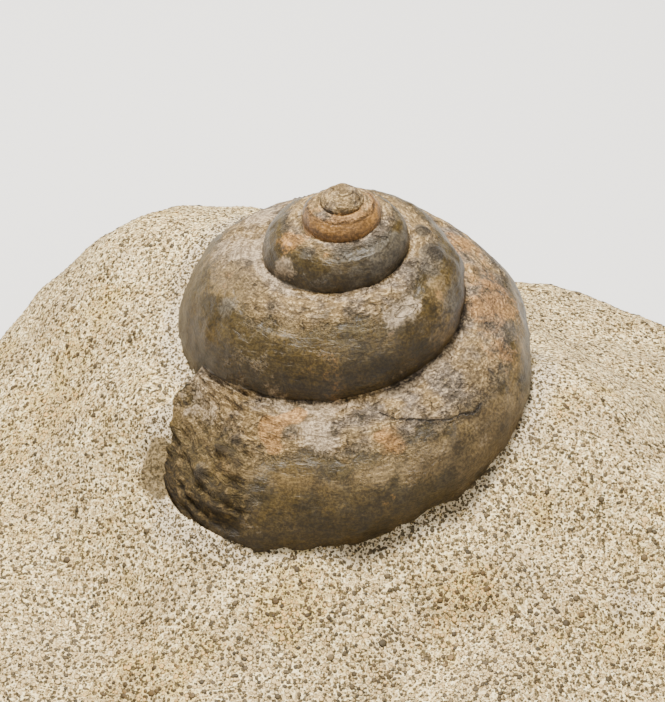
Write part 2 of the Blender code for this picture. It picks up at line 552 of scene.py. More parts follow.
@dataclass(frozen=True)
class ShellFinish:
    """The fossil shell: olive-brown sides, tan worn ramps, coloured patches and a cracked outer layer."""

    deep: Colour = (0.046, 0.031, 0.008)
    black: Colour = (0.028, 0.019, 0.009)
    tan: Colour = (0.278, 0.184, 0.076)
    golden: Overlay = Overlay((0.092, 0.060, 0.016), (0.42, 0.60))
    dun: Overlay = Overlay((0.085, 0.060, 0.021), (0.46, 0.60), 0.75)
    band: Overlay = Overlay(tan, (0.34, 0.58), 0.50)
    lilac: Overlay = Overlay((0.195, 0.152, 0.112), (0.56, 0.44))
    cream: Overlay = Overlay((0.520, 0.375, 0.195), (0.52, 0.62), 0.65)
    crumbs: Overlay = Overlay(deep, (0.45, 0.38), 0.55)
    # sandy patches, made lighter so that it also stands for painted sheen on the last whorl's right flank;
    # also the broken end's painted highlight
    sand_and_sheen: Overlay = Overlay((0.238, 0.162, 0.070), (0.30, 0.90), 0.75)
    slate: Overlay = Overlay((0.104, 0.091, 0.070), (0.40, 0.80), 0.70)
    chalk: Overlay = Overlay((0.440, 0.340, 0.225), (0.40, 0.80), 0.75)
    rust: Overlay = Overlay((0.330, 0.165, 0.046), (0.40, 0.85), 0.72)
    amber: Overlay = Overlay((0.420, 0.225, 0.072), (0.42, 0.66), 0.80, 0.42)
    # painted highlight on the crests and painted shade in the hollows of the broken end's ribs, which the
    # same noise bumps
    end_ridges: Overlay = Overlay(sand_and_sheen.tint, (0.51, 0.60), 0.60)
    end_hollow_shade: Overlay = Overlay(black, (0.47, 0.40), 0.60)
    # painted shade and highlight: darker in the hollows and lighter on the crests of the relief noise that
    # also drives the bump
    relief_painted_shading: Tone = Tone((0.44, 0.56), (0.52, 0.49, 0.44), (1.16, 1.16, 1.16))
    mottle: Tone = Tone((0.44, 0.57), (0.62, 0.60, 0.56), (1.27, 1.26, 1.22), 0.85)
    # painted shade: what the lower part of each whorl and the base are multiplied by, after the under
    # attribute
    painted_shade_tint: Colour = (0.60, 0.56, 0.50)
    relief_shares: tuple[float, ...] = (0.45, 0.35, 0.20)
    ridge_shares: Span = (0.75, 0.25)
    golden_shares: Span = (0.65, 0.35)
    dun_shares: Span = (0.4, 0.6)
    even_shares: Span = (0.5, 0.5)
    crumb_shares: Span = (0.4, 0.6)
    worn_fray: tuple[float, ...] = (1.3, 1.2, 0.8, 0.3)
    patch_fray: tuple[float, ...] = (1.5, 1.3, 0.5)
    line_fray: Span = (1.6, 0.6)
    # how much of the painted relief shading is used: 0.40, and more where the ramps are worn
    worn_shade: Span = (0.45, 0.40)
    worn_rough: Span = (0.32, 0.42)
    worn_bump: Span = (1.7, 0.6)
    line_bump: float = -0.6
    rib_bump: float = 2.0
    worn_span: Span = (0.22, 0.82)
    crack_span: Span = (0.26, 0.07)
    flake_span: Span = (0.22, 0.04)
    flake_gaps: Span = (0.46, 0.56)
    flake_strength: float = 0.7
    line_strength: float = 0.85
    bump_depth: float = 0.80 * MM
    specular: float = 0.36

    def build(self) -> bpy.types.Material:
        """Wires the material from the mesh's masks, broken up by noise."""
        bench = NodeBench("fossil_shell")
        noises = ShellNoises(bench)
        broken = bench.attribute("broken")
        relief = bench.shares(*zip((noises.wrinkle, noises.medium, noises.fine), self.relief_shares))
        worn = self.worn_mask(bench, noises)
        colour = bench.mix(worn, self.side_colour(bench, noises), self.ramp_colour(bench, noises))
        colour = self.patched(bench, noises, colour)
        ridges = bench.shares(*zip((noises.ribs, noises.medium), self.ridge_shares))
        # painted highlight and painted shade on the broken end's ribs
        colour = bench.cover(colour, ridges, self.end_ridges, broken)
        colour = bench.cover(colour, ridges, self.end_hollow_shade, broken)
        # painted shade in the relief's hollows and painted highlight on its crests
        colour = bench.shade(colour, relief, self.relief_painted_shading, bench.line(worn, *self.worn_shade))
        # painted shade low on each whorl and on the base, read from the under attribute
        colour = bench.mix(bench.attribute("under"), colour, self.painted_shade_tint, "MULTIPLY")
        # painted shade: near black in the pits and grooves, kept as an attribute from the relief's depth
        colour = bench.mix(bench.attribute("hollow_shade"), colour, self.black)
        line = self.lines(bench, noises)
        colour = bench.mix(bench.times(line, self.line_strength), colour, self.black)
        colour = bench.shade(colour, noises.fine, self.mottle)
        rough = bench.math("MAXIMUM", bench.line(worn, *self.worn_rough), broken)
        height = bench.times(relief, bench.line(worn, *self.worn_bump))
        ribs = bench.times(noises.ribs, broken)
        height = bench.shares((height, 1.0), (line, self.line_bump), (ribs, self.rib_bump))
        return bench.finish(colour, rough, height, self.bump_depth, self.specular)

    def worn_mask(self, bench: NodeBench, noises: ShellNoises) -> Socket:
        """Where the outer layer is worn pale: the ramps' mask with a ragged edge."""
        scales = zip((noises.cloud, noises.blotch, noises.medium, noises.fine), self.worn_fray)
        return bench.window(bench.frayed(bench.attribute("wear"), *scales), self.worn_span)

    def side_colour(self, bench: NodeBench, noises: ShellNoises) -> Socket:
        """Olive brown with golden and dun clouds, and a tan band that breaks off here and there."""
        drawn = bench.shares(*zip((noises.blotch, noises.ribs), self.golden_shares))
        colour = bench.cover(self.deep, drawn, self.golden)
        clouds = bench.shares(*zip((noises.medium, noises.cloud), self.dun_shares))
        colour = bench.cover(colour, clouds, self.dun)
        return bench.cover(colour, noises.blotch, self.band, bench.attribute("band"))

    def ramp_colour(self, bench: NodeBench, noises: ShellNoises) -> Socket:
        """Tan going over to a lilac grey, with cream flecks and dark crumbs."""
        colour = self.tan
        for pair, shares, over in (
            ((noises.blotch, noises.cloud), self.even_shares, self.lilac),
            ((noises.fine, noises.wrinkle), self.even_shares, self.cream),
            ((noises.blotch, noises.medium), self.crumb_shares, self.crumbs),
        ):
            colour = bench.cover(colour, bench.shares(*zip(pair, shares)), over)
        return colour

    def patched(self, bench: NodeBench, noises: ShellNoises, colour: Socket) -> Socket:
        """The colour with the kinds of patch laid over it, each with a crumbled edge."""
        for channel, over in (
            (Channel.SAND_AND_SHEEN, self.sand_and_sheen), (Channel.SLATE, self.slate), (Channel.CHALK, self.chalk),
            (Channel.RUST, self.rust), (Channel.AMBER, self.amber),
        ):
            scales = zip((noises.blotch, noises.medium, noises.fine), self.patch_fray)
            crumbled = [(noise, width * over.crumble) for noise, width in scales]
            colour = bench.cover(colour, bench.frayed(bench.attribute(channel.value), *crumbled), over)
        return colour

    def lines(self, bench: NodeBench, noises: ShellNoises) -> Socket:
        """The crack and the edges of the flakes: thin lines where a distance in millimetres is near 0."""
        wander = bench.frayed(0.0, *zip((noises.medium, noises.fine), self.line_fray))
        found = []
        for name, span in (("crack", self.crack_span), ("flake", self.flake_span)):
            distance = bench.math("ABSOLUTE", bench.math("ADD", bench.attribute(name), wander))
            found.append(bench.window(distance, span))
        crack, flake = found
        flake = bench.times(flake, bench.window(noises.blotch, self.flake_gaps))
        return bench.math("MAXIMUM", crack, bench.times(flake, self.flake_strength))


@dataclass(frozen=True)
class Staining:
    """The ochre stains that the stone and its grains share: broad noise, raised by the mesh's own mask."""

    broad_scale: float = 34.0
    medium_scale: float = 230.0
    ragged: float = 0.7
    mask_share: float = 0.30
    span: Span = (0.50, 0.74)

    def medium(self, bench: NodeBench) -> Socket:
        """The noise that frays the stains' edges."""
        return bench.noise(self.medium_scale, 4.0, 0.6)

    def mask(self, bench: NodeBench, medium: Socket) -> Socket:
        """Where the stains are, 0 to 1."""
        clouds = bench.frayed(bench.noise(self.broad_scale, 4.0), (medium, self.ragged))
        return bench.window(bench.line(bench.attribute("ochre"), self.mask_share, clouds), self.span)


@dataclass(frozen=True)
class CutGrains:
    """Round grains that the surface cuts.

    Args:
        scale: grains a metre.
        radius: the largest grains' radius in pitches, before each one's own share of it.
    """

    scale: float
    radius: float
    least_share: float = 0.62
    spread_share: float = 0.35
    crusted_size: float = -0.12
    crusted_tone: float = -0.45
    edge_span: Span = (0.0, 0.05)
    gaps_span: Span = (0.28, 0.38)
    light_span: Span = (0.40, 0.50)
    rim_span: Span = (0.16, 0.08)
    most: float = 0.92


@dataclass(frozen=True)
class StoneFinish:
    """The oolitic limestone: cream cement crowded with cut grains, ochre stains and a grey-tan encrustation
    by the shell that is partly painted shade.
    """

    cement: Colour = (0.920, 0.690, 0.350)
    bright: Overlay = Overlay((1.000, 0.870, 0.520), (0.40, 0.62))
    # darker grey-tan near the shell: partly the real encrustation and partly painted shade where the stone
    # meets the shell
    crust_and_shade: Colour = (0.600, 0.510, 0.375)
    crust_span: Span = (0.30, 0.75)
    crust_most: float = 0.75
    ochre: Colour = (0.600, 0.425, 0.110)
    ochre_most: float = 0.70
    drab: Overlay = Overlay((0.560, 0.440, 0.260), (0.50, 0.66), 0.55)
    grain_dark: Colour = (0.040, 0.029, 0.012)
    grain_tan: Colour = (0.230, 0.160, 0.072)
    grain_light: Colour = (0.600, 0.430, 0.200)
    rim: Colour = (0.040, 0.028, 0.012)
    olive: Colour = (0.052, 0.036, 0.014)
    crust_fray: float = 0.9
    vein_share: float = 0.16
    film_fray: Span = (1.4, 0.8)
    height_shares: tuple[float, ...] = (0.7, 0.35, -0.35)
    film_tint_span: Span = (0.42, 0.60)
    film_span: Span = (0.30, 0.55)
    film_most: float = 0.92
    grit: Tone = Tone((0.32, 0.58), (0.62, 0.57, 0.47), (1.08, 1.08, 1.08), 0.50)
    dust: Tone = Tone((0.42, 0.56), (0.66, 0.60, 0.48), (1.12, 1.12, 1.12), 0.50)
    large: CutGrains = CutGrains(1120.0, 0.58)
    small: CutGrains = CutGrains(2100.0, 0.62)
    roughness: float = 0.85
    bump_depth: float = 0.26 * MM
    specular: float = 0.2

    def build(self) -> bpy.types.Material:
        """Wires the material: cement, stains, the encrustation with its painted shade, grains cut at
        different heights, grit and film.
        """
        bench = NodeBench("oolitic_limestone")
        medium = Staining().medium(bench)
        fine = bench.noise(1500.0, 4.0, 0.68)
        colour = bench.cover(self.cement, fine, self.bright)
        crust_and_shade = bench.frayed(bench.attribute("crust_and_shade"), (medium, self.crust_fray))
        crust_and_shade = bench.window(crust_and_shade, self.crust_span)
        # the encrustation, which is partly painted shade near the shell
        colour = bench.mix(bench.times(crust_and_shade, self.crust_most), colour, self.crust_and_shade)
        stain = bench.times(Staining().mask(bench, medium), self.ochre_most)
        colour = bench.mix(stain, colour, self.ochre)
        veined = bench.line(bench.attribute("vein"), self.vein_share, bench.noise(52.0, 3.0))
        colour = bench.cover(colour, veined, self.drab)
        colour, dots = self.cut_grains(bench, colour, self.large, medium, crust_and_shade)
        colour, specks = self.cut_grains(bench, colour, self.small, fine, crust_and_shade)
        colour = bench.shade(colour, fine, self.grit)
        colour = bench.shade(colour, bench.noise(3300.0, 3.0, 0.7), self.dust)
        film = bench.frayed(bench.attribute("film"), *zip((medium, fine), self.film_fray))
        film_tint = bench.mix(bench.window(fine, self.film_tint_span), self.olive, self.grain_tan)
        film = bench.times(bench.window(film, self.film_span), self.film_most)
        colour = bench.mix(film, colour, film_tint)
        height = bench.shares(*zip((fine, dots, specks), self.height_shares))
        return bench.finish(colour, self.roughness, height, self.bump_depth, self.specular)

    def cut_grains(self, bench: NodeBench, colour: Socket, grains: CutGrains, patchy: Socket,
                   crust_and_shade: Socket) -> tuple[Socket, Socket]:
        """Brown discs with a dark rim, each with its own tone and size.

        Args:
            bench: the material being wired.
            colour: what lies between the grains.
            grains: how many, how large and how sharp they are.
            patchy: noise that thins them out.
            crust_and_shade: where they are small and grey.

        Returns:
            The colour and the mask of the grains.
        """
        near, pick = bench.cells(grains.scale)
        split = bench.add("ShaderNodeSeparateColor")
        bench.plug(pick, split.inputs[0])
        tone, share = split.outputs[0], split.outputs[1]
        size = bench.line(share, grains.spread_share * grains.radius, grains.least_share * grains.radius)
        size = bench.times(size, bench.line(crust_and_shade, grains.crusted_size, 1.0))
        inside = bench.math("SUBTRACT", size, near)
        mask = bench.times(bench.window(inside, grains.edge_span), bench.window(patchy, grains.gaps_span))
        tone = bench.times(tone, bench.line(crust_and_shade, grains.crusted_tone, 1.0))
        fill = bench.mix(tone, self.grain_dark, self.grain_tan)
        fill = bench.mix(bench.window(tone, grains.light_span), fill, self.grain_light)
        fill = bench.mix(bench.window(inside, grains.rim_span), fill, self.rim)
        return bench.mix(bench.times(mask, grains.most), colour, fill), mask


@dataclass(frozen=True)
class GrainFinish:
    """The ooids that stand out: brown with a dark rim, some tan and some with a pale middle."""

    dark: Colour = StoneFinish.grain_dark
    tan: Colour = (0.250, 0.170, 0.075)
    light: Overlay = Overlay((0.640, 0.460, 0.215), (0.38, 0.46))
    rim: Overlay = Overlay(StoneFinish.rim, (0.70, 0.86), 0.85)
    stain: Colour = (1.120, 0.860, 0.400)
    stain_most: float = 0.6
    speckle_low: Colour = (0.50, 0.46, 0.40)
    speckle_high: Colour = (1.3, 1.3, 1.3)
    speckle_share: float = 0.6
    roughness: float = 0.6
    bump_depth: float = 0.15 * MM
    specular: float = 0.3

    def build(self) -> bpy.types.Material:
        """Wires the material from each grain's own tone and the distance from its middle."""
        bench = NodeBench("ooid_grain")
        tone = bench.attribute("tone")
        fine = bench.noise(2300.0, 3.0)
        colour = bench.cover(bench.mix(tone, self.dark, self.tan), tone, self.light)
        stained = bench.times(Staining().mask(bench, Staining().medium(bench)), self.stain_most)
        colour = bench.mix(stained, colour, self.stain, "MULTIPLY")
        colour = bench.cover(colour, bench.attribute("reach"), self.rim)
        speckle = bench.mix(fine, self.speckle_low, self.speckle_high)
        colour = bench.mix(self.speckle_share, colour, speckle, "MULTIPLY")
        return bench.finish(colour, self.roughness, fine, self.bump_depth, self.specular)


@dataclass(frozen=True)
class FloorFinish:
    """The plain pale floor."""

    colour: Colour = (0.78, 0.77, 0.75)
    roughness: float = 0.8

    def build(self) -> bpy.types.Material:
        """A plain matt surface."""
        bench = NodeBench("pale_floor")
        bench.plug(self.colour, bench.surface.inputs["Base Color"])
        bench.surface.inputs["Roughness"].default_value = self.roughness
        return bench.material


# The shell

# The patches by kind: each one's middle and radius in millimetres, then how strong it is there.
SHELL_PATCHES: dict[Channel, tuple[PatchRow, ...]] = {
    Channel.RUST: (
        (-5.5, 12.0, 85.0, 3.6, 0.75), (-16.3, 13.5, 81.9, 3.0, 1.0), (11.6, 6.5, 75.0, 2.2, 0.6),
        (3.5, -3.4, 72.4, 1.8, 0.35), (-27.5, 14.0, 72.0, 3.4, 0.45), (-8.1, -9.0, 65.8, 5.0, 0.4),
        (17.3, 30.6, 66.8, 6.0, 0.8), (24.2, 17.6, 64.4, 5.5, 0.8), (23.9, 3.4, 62.1, 4.5, 0.65),
        (20.4, 11.3, 65.2, 4.0, 0.6), (-17.5, -14.5, 59.4, 3.6, 0.5), (3.4, -17.0, 59.0, 2.6, 0.9),
        (2.8, -23.8, 51.6, 2.6, 0.4), (-27.0, -19.0, 54.0, 3.0, 0.45),
    ),
    Channel.SAND_AND_SHEEN: (
        (-28.8, 16.8, 71.6, 4.6, 0.9), (-25.4, 10.2, 73.1, 3.8, 0.9), (-22.2, 5.1, 73.6, 3.4, 0.8),
        (11.5, 7.0, 75.3, 3.4, 0.9), (-20.4, -20.1, 55.8, 2.2, 0.35), (-4.6, -16.4, 60.0, 2.6, 1.0),
        # the first two patches on this row, on the last whorl's right flank, are painted sheen
        (19.8, -12.6, 54.0, 8.0, 0.9), (26.5, -5.0, 52.5, 6.0, 0.9), (1.1, -22.2, 55.1, 2.4, 0.7),
        (5.5, -20.5, 55.6, 2.6, 0.7), (10.2, -17.8, 56.5, 3.2, 0.8), (-30.7, 24.8, 69.4, 3.8, 0.8),
        (-16.3, -1.4, 73.3, 3.2, 0.7), (-9.2, 7.7, 82.9, 1.5, 1.0), (13.4, 2.4, 68.2, 3.4, 0.8),
    ),
    Channel.AMBER: (
        (-19.8, -13.2, 59.9, 1.5, 1.1), (-19.2, -15.4, 58.9, 1.6, 1.2), (-18.2, -17.4, 57.4, 1.3, 1.0),
        (-16.6, -12.5, 60.6, 1.5, 1.1), (-14.0, -12.0, 60.9, 1.6, 1.2), (1.2, -16.6, 59.9, 1.5, 0.9),
        (-9.0, 7.6, 82.9, 0.9, 0.7), (-16.0, 13.5, 82.0, 1.9, 0.9),
    ),
    Channel.SLATE: (
        (-15.6, -15.2, 59.8, 1.8, 0.9), (-5.5, 8.0, 83.5, 2.8, 0.9), (0.5, 9.0, 82.8, 2.6, 0.9),
        (-12.8, 8.8, 82.3, 1.6, 0.9), (3.6, 12.5, 82.4, 2.2, 0.8), (4.0, -0.5, 74.6, 5.0, 0.5),
        (-27.6, 6.9, 70.9, 2.8, 0.9), (8.6, 10.4, 77.8, 3.6, 0.8), (-10.0, -0.4, 75.3, 3.0, 0.6),
        (9.1, 19.4, 78.7, 1.4, 1.1), (10.9, 14.7, 77.7, 1.7, 1.1), (22.9, 22.8, 65.1, 3.2, 0.9),
        (0.3, -25.8, 43.7, 2.6, 0.6), (-32.6, -16.8, 50.5, 2.2, 0.9), (-24.6, -14.9, 57.4, 1.5, 0.5),
        (14.0, 7.0, 72.0, 3.0, 0.7),
    ),
    Channel.CHALK: (
        (-5.3, 16.0, 90.0, 2.9, 0.3), (-16.6, 8.6, 77.8, 2.9, 0.85), (-25.7, 21.6, 72.6, 5.5, 0.75),
        (-30.0, 26.4, 69.6, 3.4, 0.45), (3.2, -1.0, 74.7, 2.2, 0.7), (14.1, -1.9, 63.9, 4.2, 0.35),
        (19.0, -12.4, 55.7, 2.8, 0.55), (-10.4, -14.9, 60.6, 3.6, 0.8), (-8.9, -17.4, 59.2, 2.6, 0.6),
        (-21.9, 34.4, 70.6, 3.6, 1.0), (-31.5, -7.8, 56.9, 3.2, 0.55), (6.4, 2.6, 75.8, 2.8, 0.7),
        (-18.4, -8.2, 62.2, 2.8, 0.6), (5.0, -6.8, 64.4, 2.4, 0.6),
    ),
}


@dataclass
class FossilShell:
    """The coiled shell: a whorl profile carried down the coil, with its tip, base and broken end.

    Sizes are in metres. Heights of relief, pits, the crack and the patches are in millimetres. Places along
    the coil are in turns, and places across it in shares of the whorl from its upper suture.
    """

    node: str = "slit_shell"
    axis: tuple[float, float] = (-6.0 * MM, 17.5 * MM)
    apex_height: float = 90.7 * MM
    apex_bluntness: float = 1.2 * MM
    tip_rise: float = 0.25 * MM
    first_whorl: int = -5
    sutures: tuple[float, ...] = tuple(r * MM for r in (1.25, 2.15, 3.95, 7.35, 13.5, 26.6, 45.5, 66.0))
    cone_slope: float = 1.13
    shoulder_power: float = 1.95
    broken_power: float = 1.05
    side_bulge: float = 0.05
    lean: float = 0.136
    bend: float = -5.0
    apex_turn: float = -4.6
    end_turn: float = 0.17
    break_turn: float = 0.04
    break_shrink: float = 0.50
    break_sink: float = 3.0 * MM
    base_height: float = 31.0 * MM
    rows_a_turn: int = 305
    whorl_steps: int = 56
    front_crowding: float = 0.42
    base_steps: int = 16
    base_crowding: float = 1.4
    fill_slope: float = 1.1
    fill_gap: float = 0.3 * MM
    fill_reach: float = 30.0 * MM
    swell: Lumps = Lumps(0.95, 17.0 * MM, 1, 13)
    broad_lumps: Lumps = Lumps(0.50, 9.0 * MM, 3, 11)
    tip_lumps: Lumps = Lumps(0.34, 4.6 * MM, 2, 19)
    grit: Lumps = Lumps(0.14, 2.4 * MM, 2, 17)
    coil_ribs: Lumps = Lumps(0.10, 1.0, 3, 51)
    end_ridges: Lumps = Lumps(0.60, 1.0, 2, 53)
    end_lumps: Lumps = Lumps(0.42, 4.0 * MM, 3, 23)
    end_edge: Lumps = Lumps(0.022, 8.0 * MM, 2, 43)
    lip_lumps: Lumps = Lumps(1.1, 2.2 * MM, 2, 29)
    islands: Lumps = Lumps(5.0, 8.0 * MM, 3, 41)
    plate_edge: Lumps = Lumps(1.3, 4.0 * MM, 3, 43)
    wear_lumps: Lumps = Lumps(0.10, 7.0 * MM, 2, 71)
    end_pitting: Pitting = Pitting(0.7, 4.2 * MM, 0.42, 31)
    fine_pitting: Pitting = Pitting(0.16, 2.6 * MM, 0.35, 37)
    size_limits: Span = (0.25, 1.6)
    rib_scales: Span = (48.0, 11.0)
    slant_scales: Place = (30.0, 5.0, 24.0)
    tip_size: Span = (0.9, 0.5)
    broken_from: Span = (0.045, 0.03)
    end_fade: float = 0.02
    lip_fade: float = 0.08
    lip_place: float = 0.085
    lip_width: float = 0.03
    lip_height: float = 0.42
    groove_width: float = 0.0318
    groove_depth: float = 0.26
    crack_width: float = 0.5
    crack_depth: float = 0.45
    flake_height: float = 0.30
    flake_ramp: float = 0.6
    width_to_growth: float = 1.7
    farthest_mm: float = 9.0
    islands_level: float = 2.1
    islands_end: Span = (0.38, 0.14)
    rusty_whorl: Stretch = Stretch(-3.75, 0.15, -2.50, 0.3)
    rusty_base: float = 0.40
    rusty_side: Span = (0.20, 0.3)
    grey_whorl: Stretch = Stretch(-2.45, 0.2, -1.55, 0.2)
    grey_strength: float = 0.38
    grey_side: Span = (0.45, 0.2)
    collar_line: Span = (0.055, 0.045)
    collar_turns: Span = (-2.6, 0.3)
    dusted_turns: Span = (0.105, 0.05)
    dusted_side: Span = (0.66, 0.25)
    dust_strength: float = 0.55
    # Painted shade, kept as the under attribute: darker low on each whorl towards its lower suture and on the
    # base, darker from the shoulder down on the coil before its last half turn, and less on the whorls of the
    # tip.
    painted_shade_side: Span = (0.55, 0.45)
    painted_shade_base: float = 0.6
    upper_painted_shade: float = 0.45
    upper_turns: Span = (-0.55, 0.2)
    upper_side: Span = (0.35, 0.2)
    tip_light: float = 0.7
    tip_turns: Span = (-2.9, 0.3)
    band_line: Span = (0.51, 0.06)
    band_turns: Span = (-0.40, 0.15)
    worn_edge: Span = (0.15, 0.36)
    worn_strength: float = 0.85
    # painted shade in the hollows: how dark a sunken place is drawn from its depth in millimetres, and the
    # most
    hollow_law: Span = (1.1, 0.25)
    hollow_most: float = 0.85
    patch_sharpness: float = 0.7
    pits: tuple[tuple[Place, float, float], ...] = (
        ((9.1, 19.4, 78.7), 1.6, 0.7),
        ((10.9, 14.7, 77.7), 1.9, 0.8),
        ((-32.6, -16.8, 50.5), 1.8, 1.0),
        ((-24.6, -14.9, 57.4), 1.2, 0.8),
        ((-16.6, 12.4, 81.3), 1.0, 0.5),
    )
    crack: tuple[tuple[float, float], ...] = (
        (-0.126, 0.43), (-0.118, 0.45), (-0.107, 0.405), (-0.094, 0.385), (-0.080, 0.34), (-0.066, 0.29),
        (-0.051, 0.24), (-0.038, 0.17),
    )
    plates: tuple[tuple[float, float, float, float], ...] = (
        (-0.004, 0.064, 0.02, 0.36),
        (-0.125, -0.030, -0.10, 0.20),
        (-0.770, -0.660, -0.10, 0.30),
    )
    worn_share: tuple[tuple[float, float], ...] = (
        (-3.8, 1.00), (-3.5, 0.50), (-2.0, 0.34), (-1.0, 0.34), (-0.4, 0.52), (-0.1, 0.44), (0.17, 0.36),
    )
    patches: dict[Channel, tuple[PatchRow, ...]] = field(default_factory=lambda: SHELL_PATCHES)

    def suture_radius(self, turn: np.ndarray) -> np.ndarray:
        """The suture's distance from the axis: a Hermite curve through the logarithms of its radii."""
        logs = np.log(np.array(self.sutures))
        slopes = np.gradient(logs)
        place = np.clip(turn - self.first_whorl, 0.0, len(logs) - 1.001)
        step = np.floor(place).astype(int)
        part = place - step
        start = logs[step] * (1.0 + 2.0 * part) + slopes[step] * part
        stop = logs[step + 1] * (3.0 - 2.0 * part) - slopes[step + 1] * (1.0 - part)
        return np.exp(start * (1.0 - part) ** 2 + stop * part**2)

    def cone_depth(self, radius: np.ndarray) -> np.ndarray:
        """How far below the apex a suture of this radius lies: an even slope with a blunt tip."""
        return self.cone_slope * (np.sqrt(radius**2 + self.apex_bluntness**2) - self.apex_bluntness)

    def profile(self, turn: np.ndarray, across: np.ndarray) -> tuple[np.ndarray, np.ndarray]:
        """A whorl's outline: a quarter of a superellipse from its upper to its lower suture.

        Args:
            turn: the place along the coil, in turns.
            across: 0 at the upper suture to 1 at the lower one.

        Returns:
            The distance from the axis and the depth below the apex.
        """
        inner = self.suture_radius(turn)
        broken = rise(turn, self.break_turn, self.end_turn - self.break_turn)
        width = (self.suture_radius(turn + 1.0) - inner) * (1.0 - self.break_shrink * broken)
        swing = across * math.pi / 2.0
        power = self.curve_power(turn)
        outward = np.sin(swing) ** power + self.side_bulge * np.sin(2.0 * swing) * across
        downward = 1.0 - np.maximum(np.cos(swing), 0.0) ** power
        depth = self.cone_depth(inner + width * downward) + self.break_sink * broken * across
        return inner + width * outward, depth

    def curve_power(self, turn: np.ndarray) -> np.ndarray:
        """The power of the outline's sine and cosine: round shoulders, and a chamfer at the break."""
        broken = rise(turn, self.break_turn, self.end_turn - self.break_turn)
        return 2.0 / (self.shoulder_power + (self.broken_power - self.shoulder_power) * broken)

    def place(self, turn: np.ndarray, radius: np.ndarray, depth: np.ndarray) -> np.ndarray:
        """Points in the row's frame, with the spire's lean and bend added along X."""
        angle = 2.0 * math.pi * turn
        lean = self.lean * depth + self.bend * depth**2
        x = self.axis[0] + lean - radius * np.sin(angle)
        y = self.axis[1] - radius * np.cos(angle)
        return np.stack(np.broadcast_arrays(x, y, self.apex_height - depth), axis=-1)

    def round_axis(self, points: np.ndarray) -> tuple[np.ndarray, np.ndarray, np.ndarray]:
        """The opposite of place: the turn from -0.5 to 0.5, the distance from the axis and the depth."""
        depth = self.apex_height - points[..., 2]
        dx = points[..., 0] - self.axis[0] - self.lean * depth - self.bend * depth**2
        dy = points[..., 1] - self.axis[1]
        return np.arctan2(-dx, -dy) / (2.0 * math.pi), np.hypot(dx, dy), depth

    def gap(self, points: np.ndarray) -> np.ndarray:
        """How far outside the shell a place is, measured level and away from the axis.

        Args:
            points: places in metres, three to a row.

        Returns:
            Metres outside the last whorl or the base at that depth; negative inside.
        """
        turn, radius, depth = self.round_axis(points)
        turn = self.end_turn - np.mod(self.end_turn - turn, 1.0)
        edge_radius, edge_depth = self.profile(turn, np.ones_like(turn))
        inner = self.suture_radius(turn)
        top_depth = self.cone_depth(inner)
        share = np.clip((depth - top_depth) / np.maximum(edge_depth - top_depth, 1e-6), 0.0, 1.0)
        power = self.curve_power(turn)
        swing = np.arccos((1.0 - share) ** (1.0 / power))
        outward = np.sin(swing) ** power
        outward += self.side_bulge * np.sin(2.0 * swing) * swing / (math.pi / 2.0)
        on_whorl = inner + (edge_radius - inner) * outward
        below = np.clip((depth - edge_depth) / self.base_height, 0.0, 1.0)
        on_base = edge_radius * np.sqrt(1.0 - below**2)
        return radius - np.where(depth < edge_depth, on_whorl, on_base)

    def fill_height(self, points: np.ndarray) -> np.ndarray:
        """The height of the stone that clings to the broken end, which falls away at an even slope.

        Args:
            points: places in metres, three to a row.

        Returns:
            The height in metres; far below the stone away from the end.
        """
        turn, radius, _ = self.round_axis(points)
        turn = self.end_turn + np.mod(turn - self.end_turn, 1.0)
        rim_radius, rim_depth = self.profile(np.full(60, self.end_turn), np.linspace(0.0, 1.0, 60))
        past = (turn - self.end_turn) * 2.0 * math.pi * radius
        outside = np.maximum(radius - rim_radius[-1], 0.0)
        height = self.apex_height - np.interp(radius, rim_radius, rim_depth) - self.fill_gap
        height -= self.fill_slope * (past + outside)
        return np.where((past < self.fill_reach) & (radius > rim_radius[0]), height, FAR_BELOW)

    def relief(self, points: np.ndarray, turn: np.ndarray, across: np.ndarray) -> np.ndarray:
        """The height of the worn surface over the smooth whorl, in metres.

        Sums of noise make the lumps; noise stretched along the coil makes spiral ribs, and slanting ridges
        on the broken end; seeds in cells make pits; the crack and single pits are grooves and bowls.

        Args:
            points: places on the smooth shell in metres.
            turn: turns along the coil.
            across: 0 to 1 across the whorl, above 1 on the base.

        Returns:
            A height for each place.
        """
        size = np.clip(self.suture_radius(turn) / self.sutures[-3], *self.size_limits)
        level = np.zeros_like(turn)
        coil = np.stack([turn * self.rib_scales[0], across * self.rib_scales[1], level], axis=-1)
        along, skew, wide = self.slant_scales
        slant = np.stack([turn * along + across * skew, across * wide, level], axis=-1)
        broken = self.brokenness(points, turn)
        height = (self.broad_lumps.at(points) + self.swell.at(points) + self.coil_ribs.at(coil)) * size
        height += self.grit.at(points) * np.sqrt(size)
        height += self.tip_lumps.at(points) * fall(size, *self.tip_size)
        height += broken * (self.end_ridges.at(slant) + self.end_lumps.at(points))
        height -= broken * self.end_pitting.at(points) + self.fine_pitting.at(points)
        lip = np.where(across < 0.5, hump(across, self.lip_place, self.lip_width), 0.0)
        lip *= fall(turn, self.end_turn, self.lip_fade) * (1.0 + self.lip_lumps.at(points))
        to_suture = np.minimum(across, np.abs(1.0 - across))
        groove = np.where(across <= 1.0, hump(to_suture, 0.0, self.groove_width), 0.0)
        height += size * (self.lip_height * lip - self.groove_depth * groove)
        height -= self.crack_depth * hump(self.crack_distance(turn, across), 0.0, self.crack_width)
        flakes = rise(self.flake_distance(points, turn, across), 0.0, self.flake_ramp)
        height += self.flake_height * flakes * np.sqrt(size)
        for middle, radius, depth in self.pits:
            height -= depth * soft_spot(points, middle, radius)
        return height * fall(turn, self.end_turn, self.end_fade) * MM

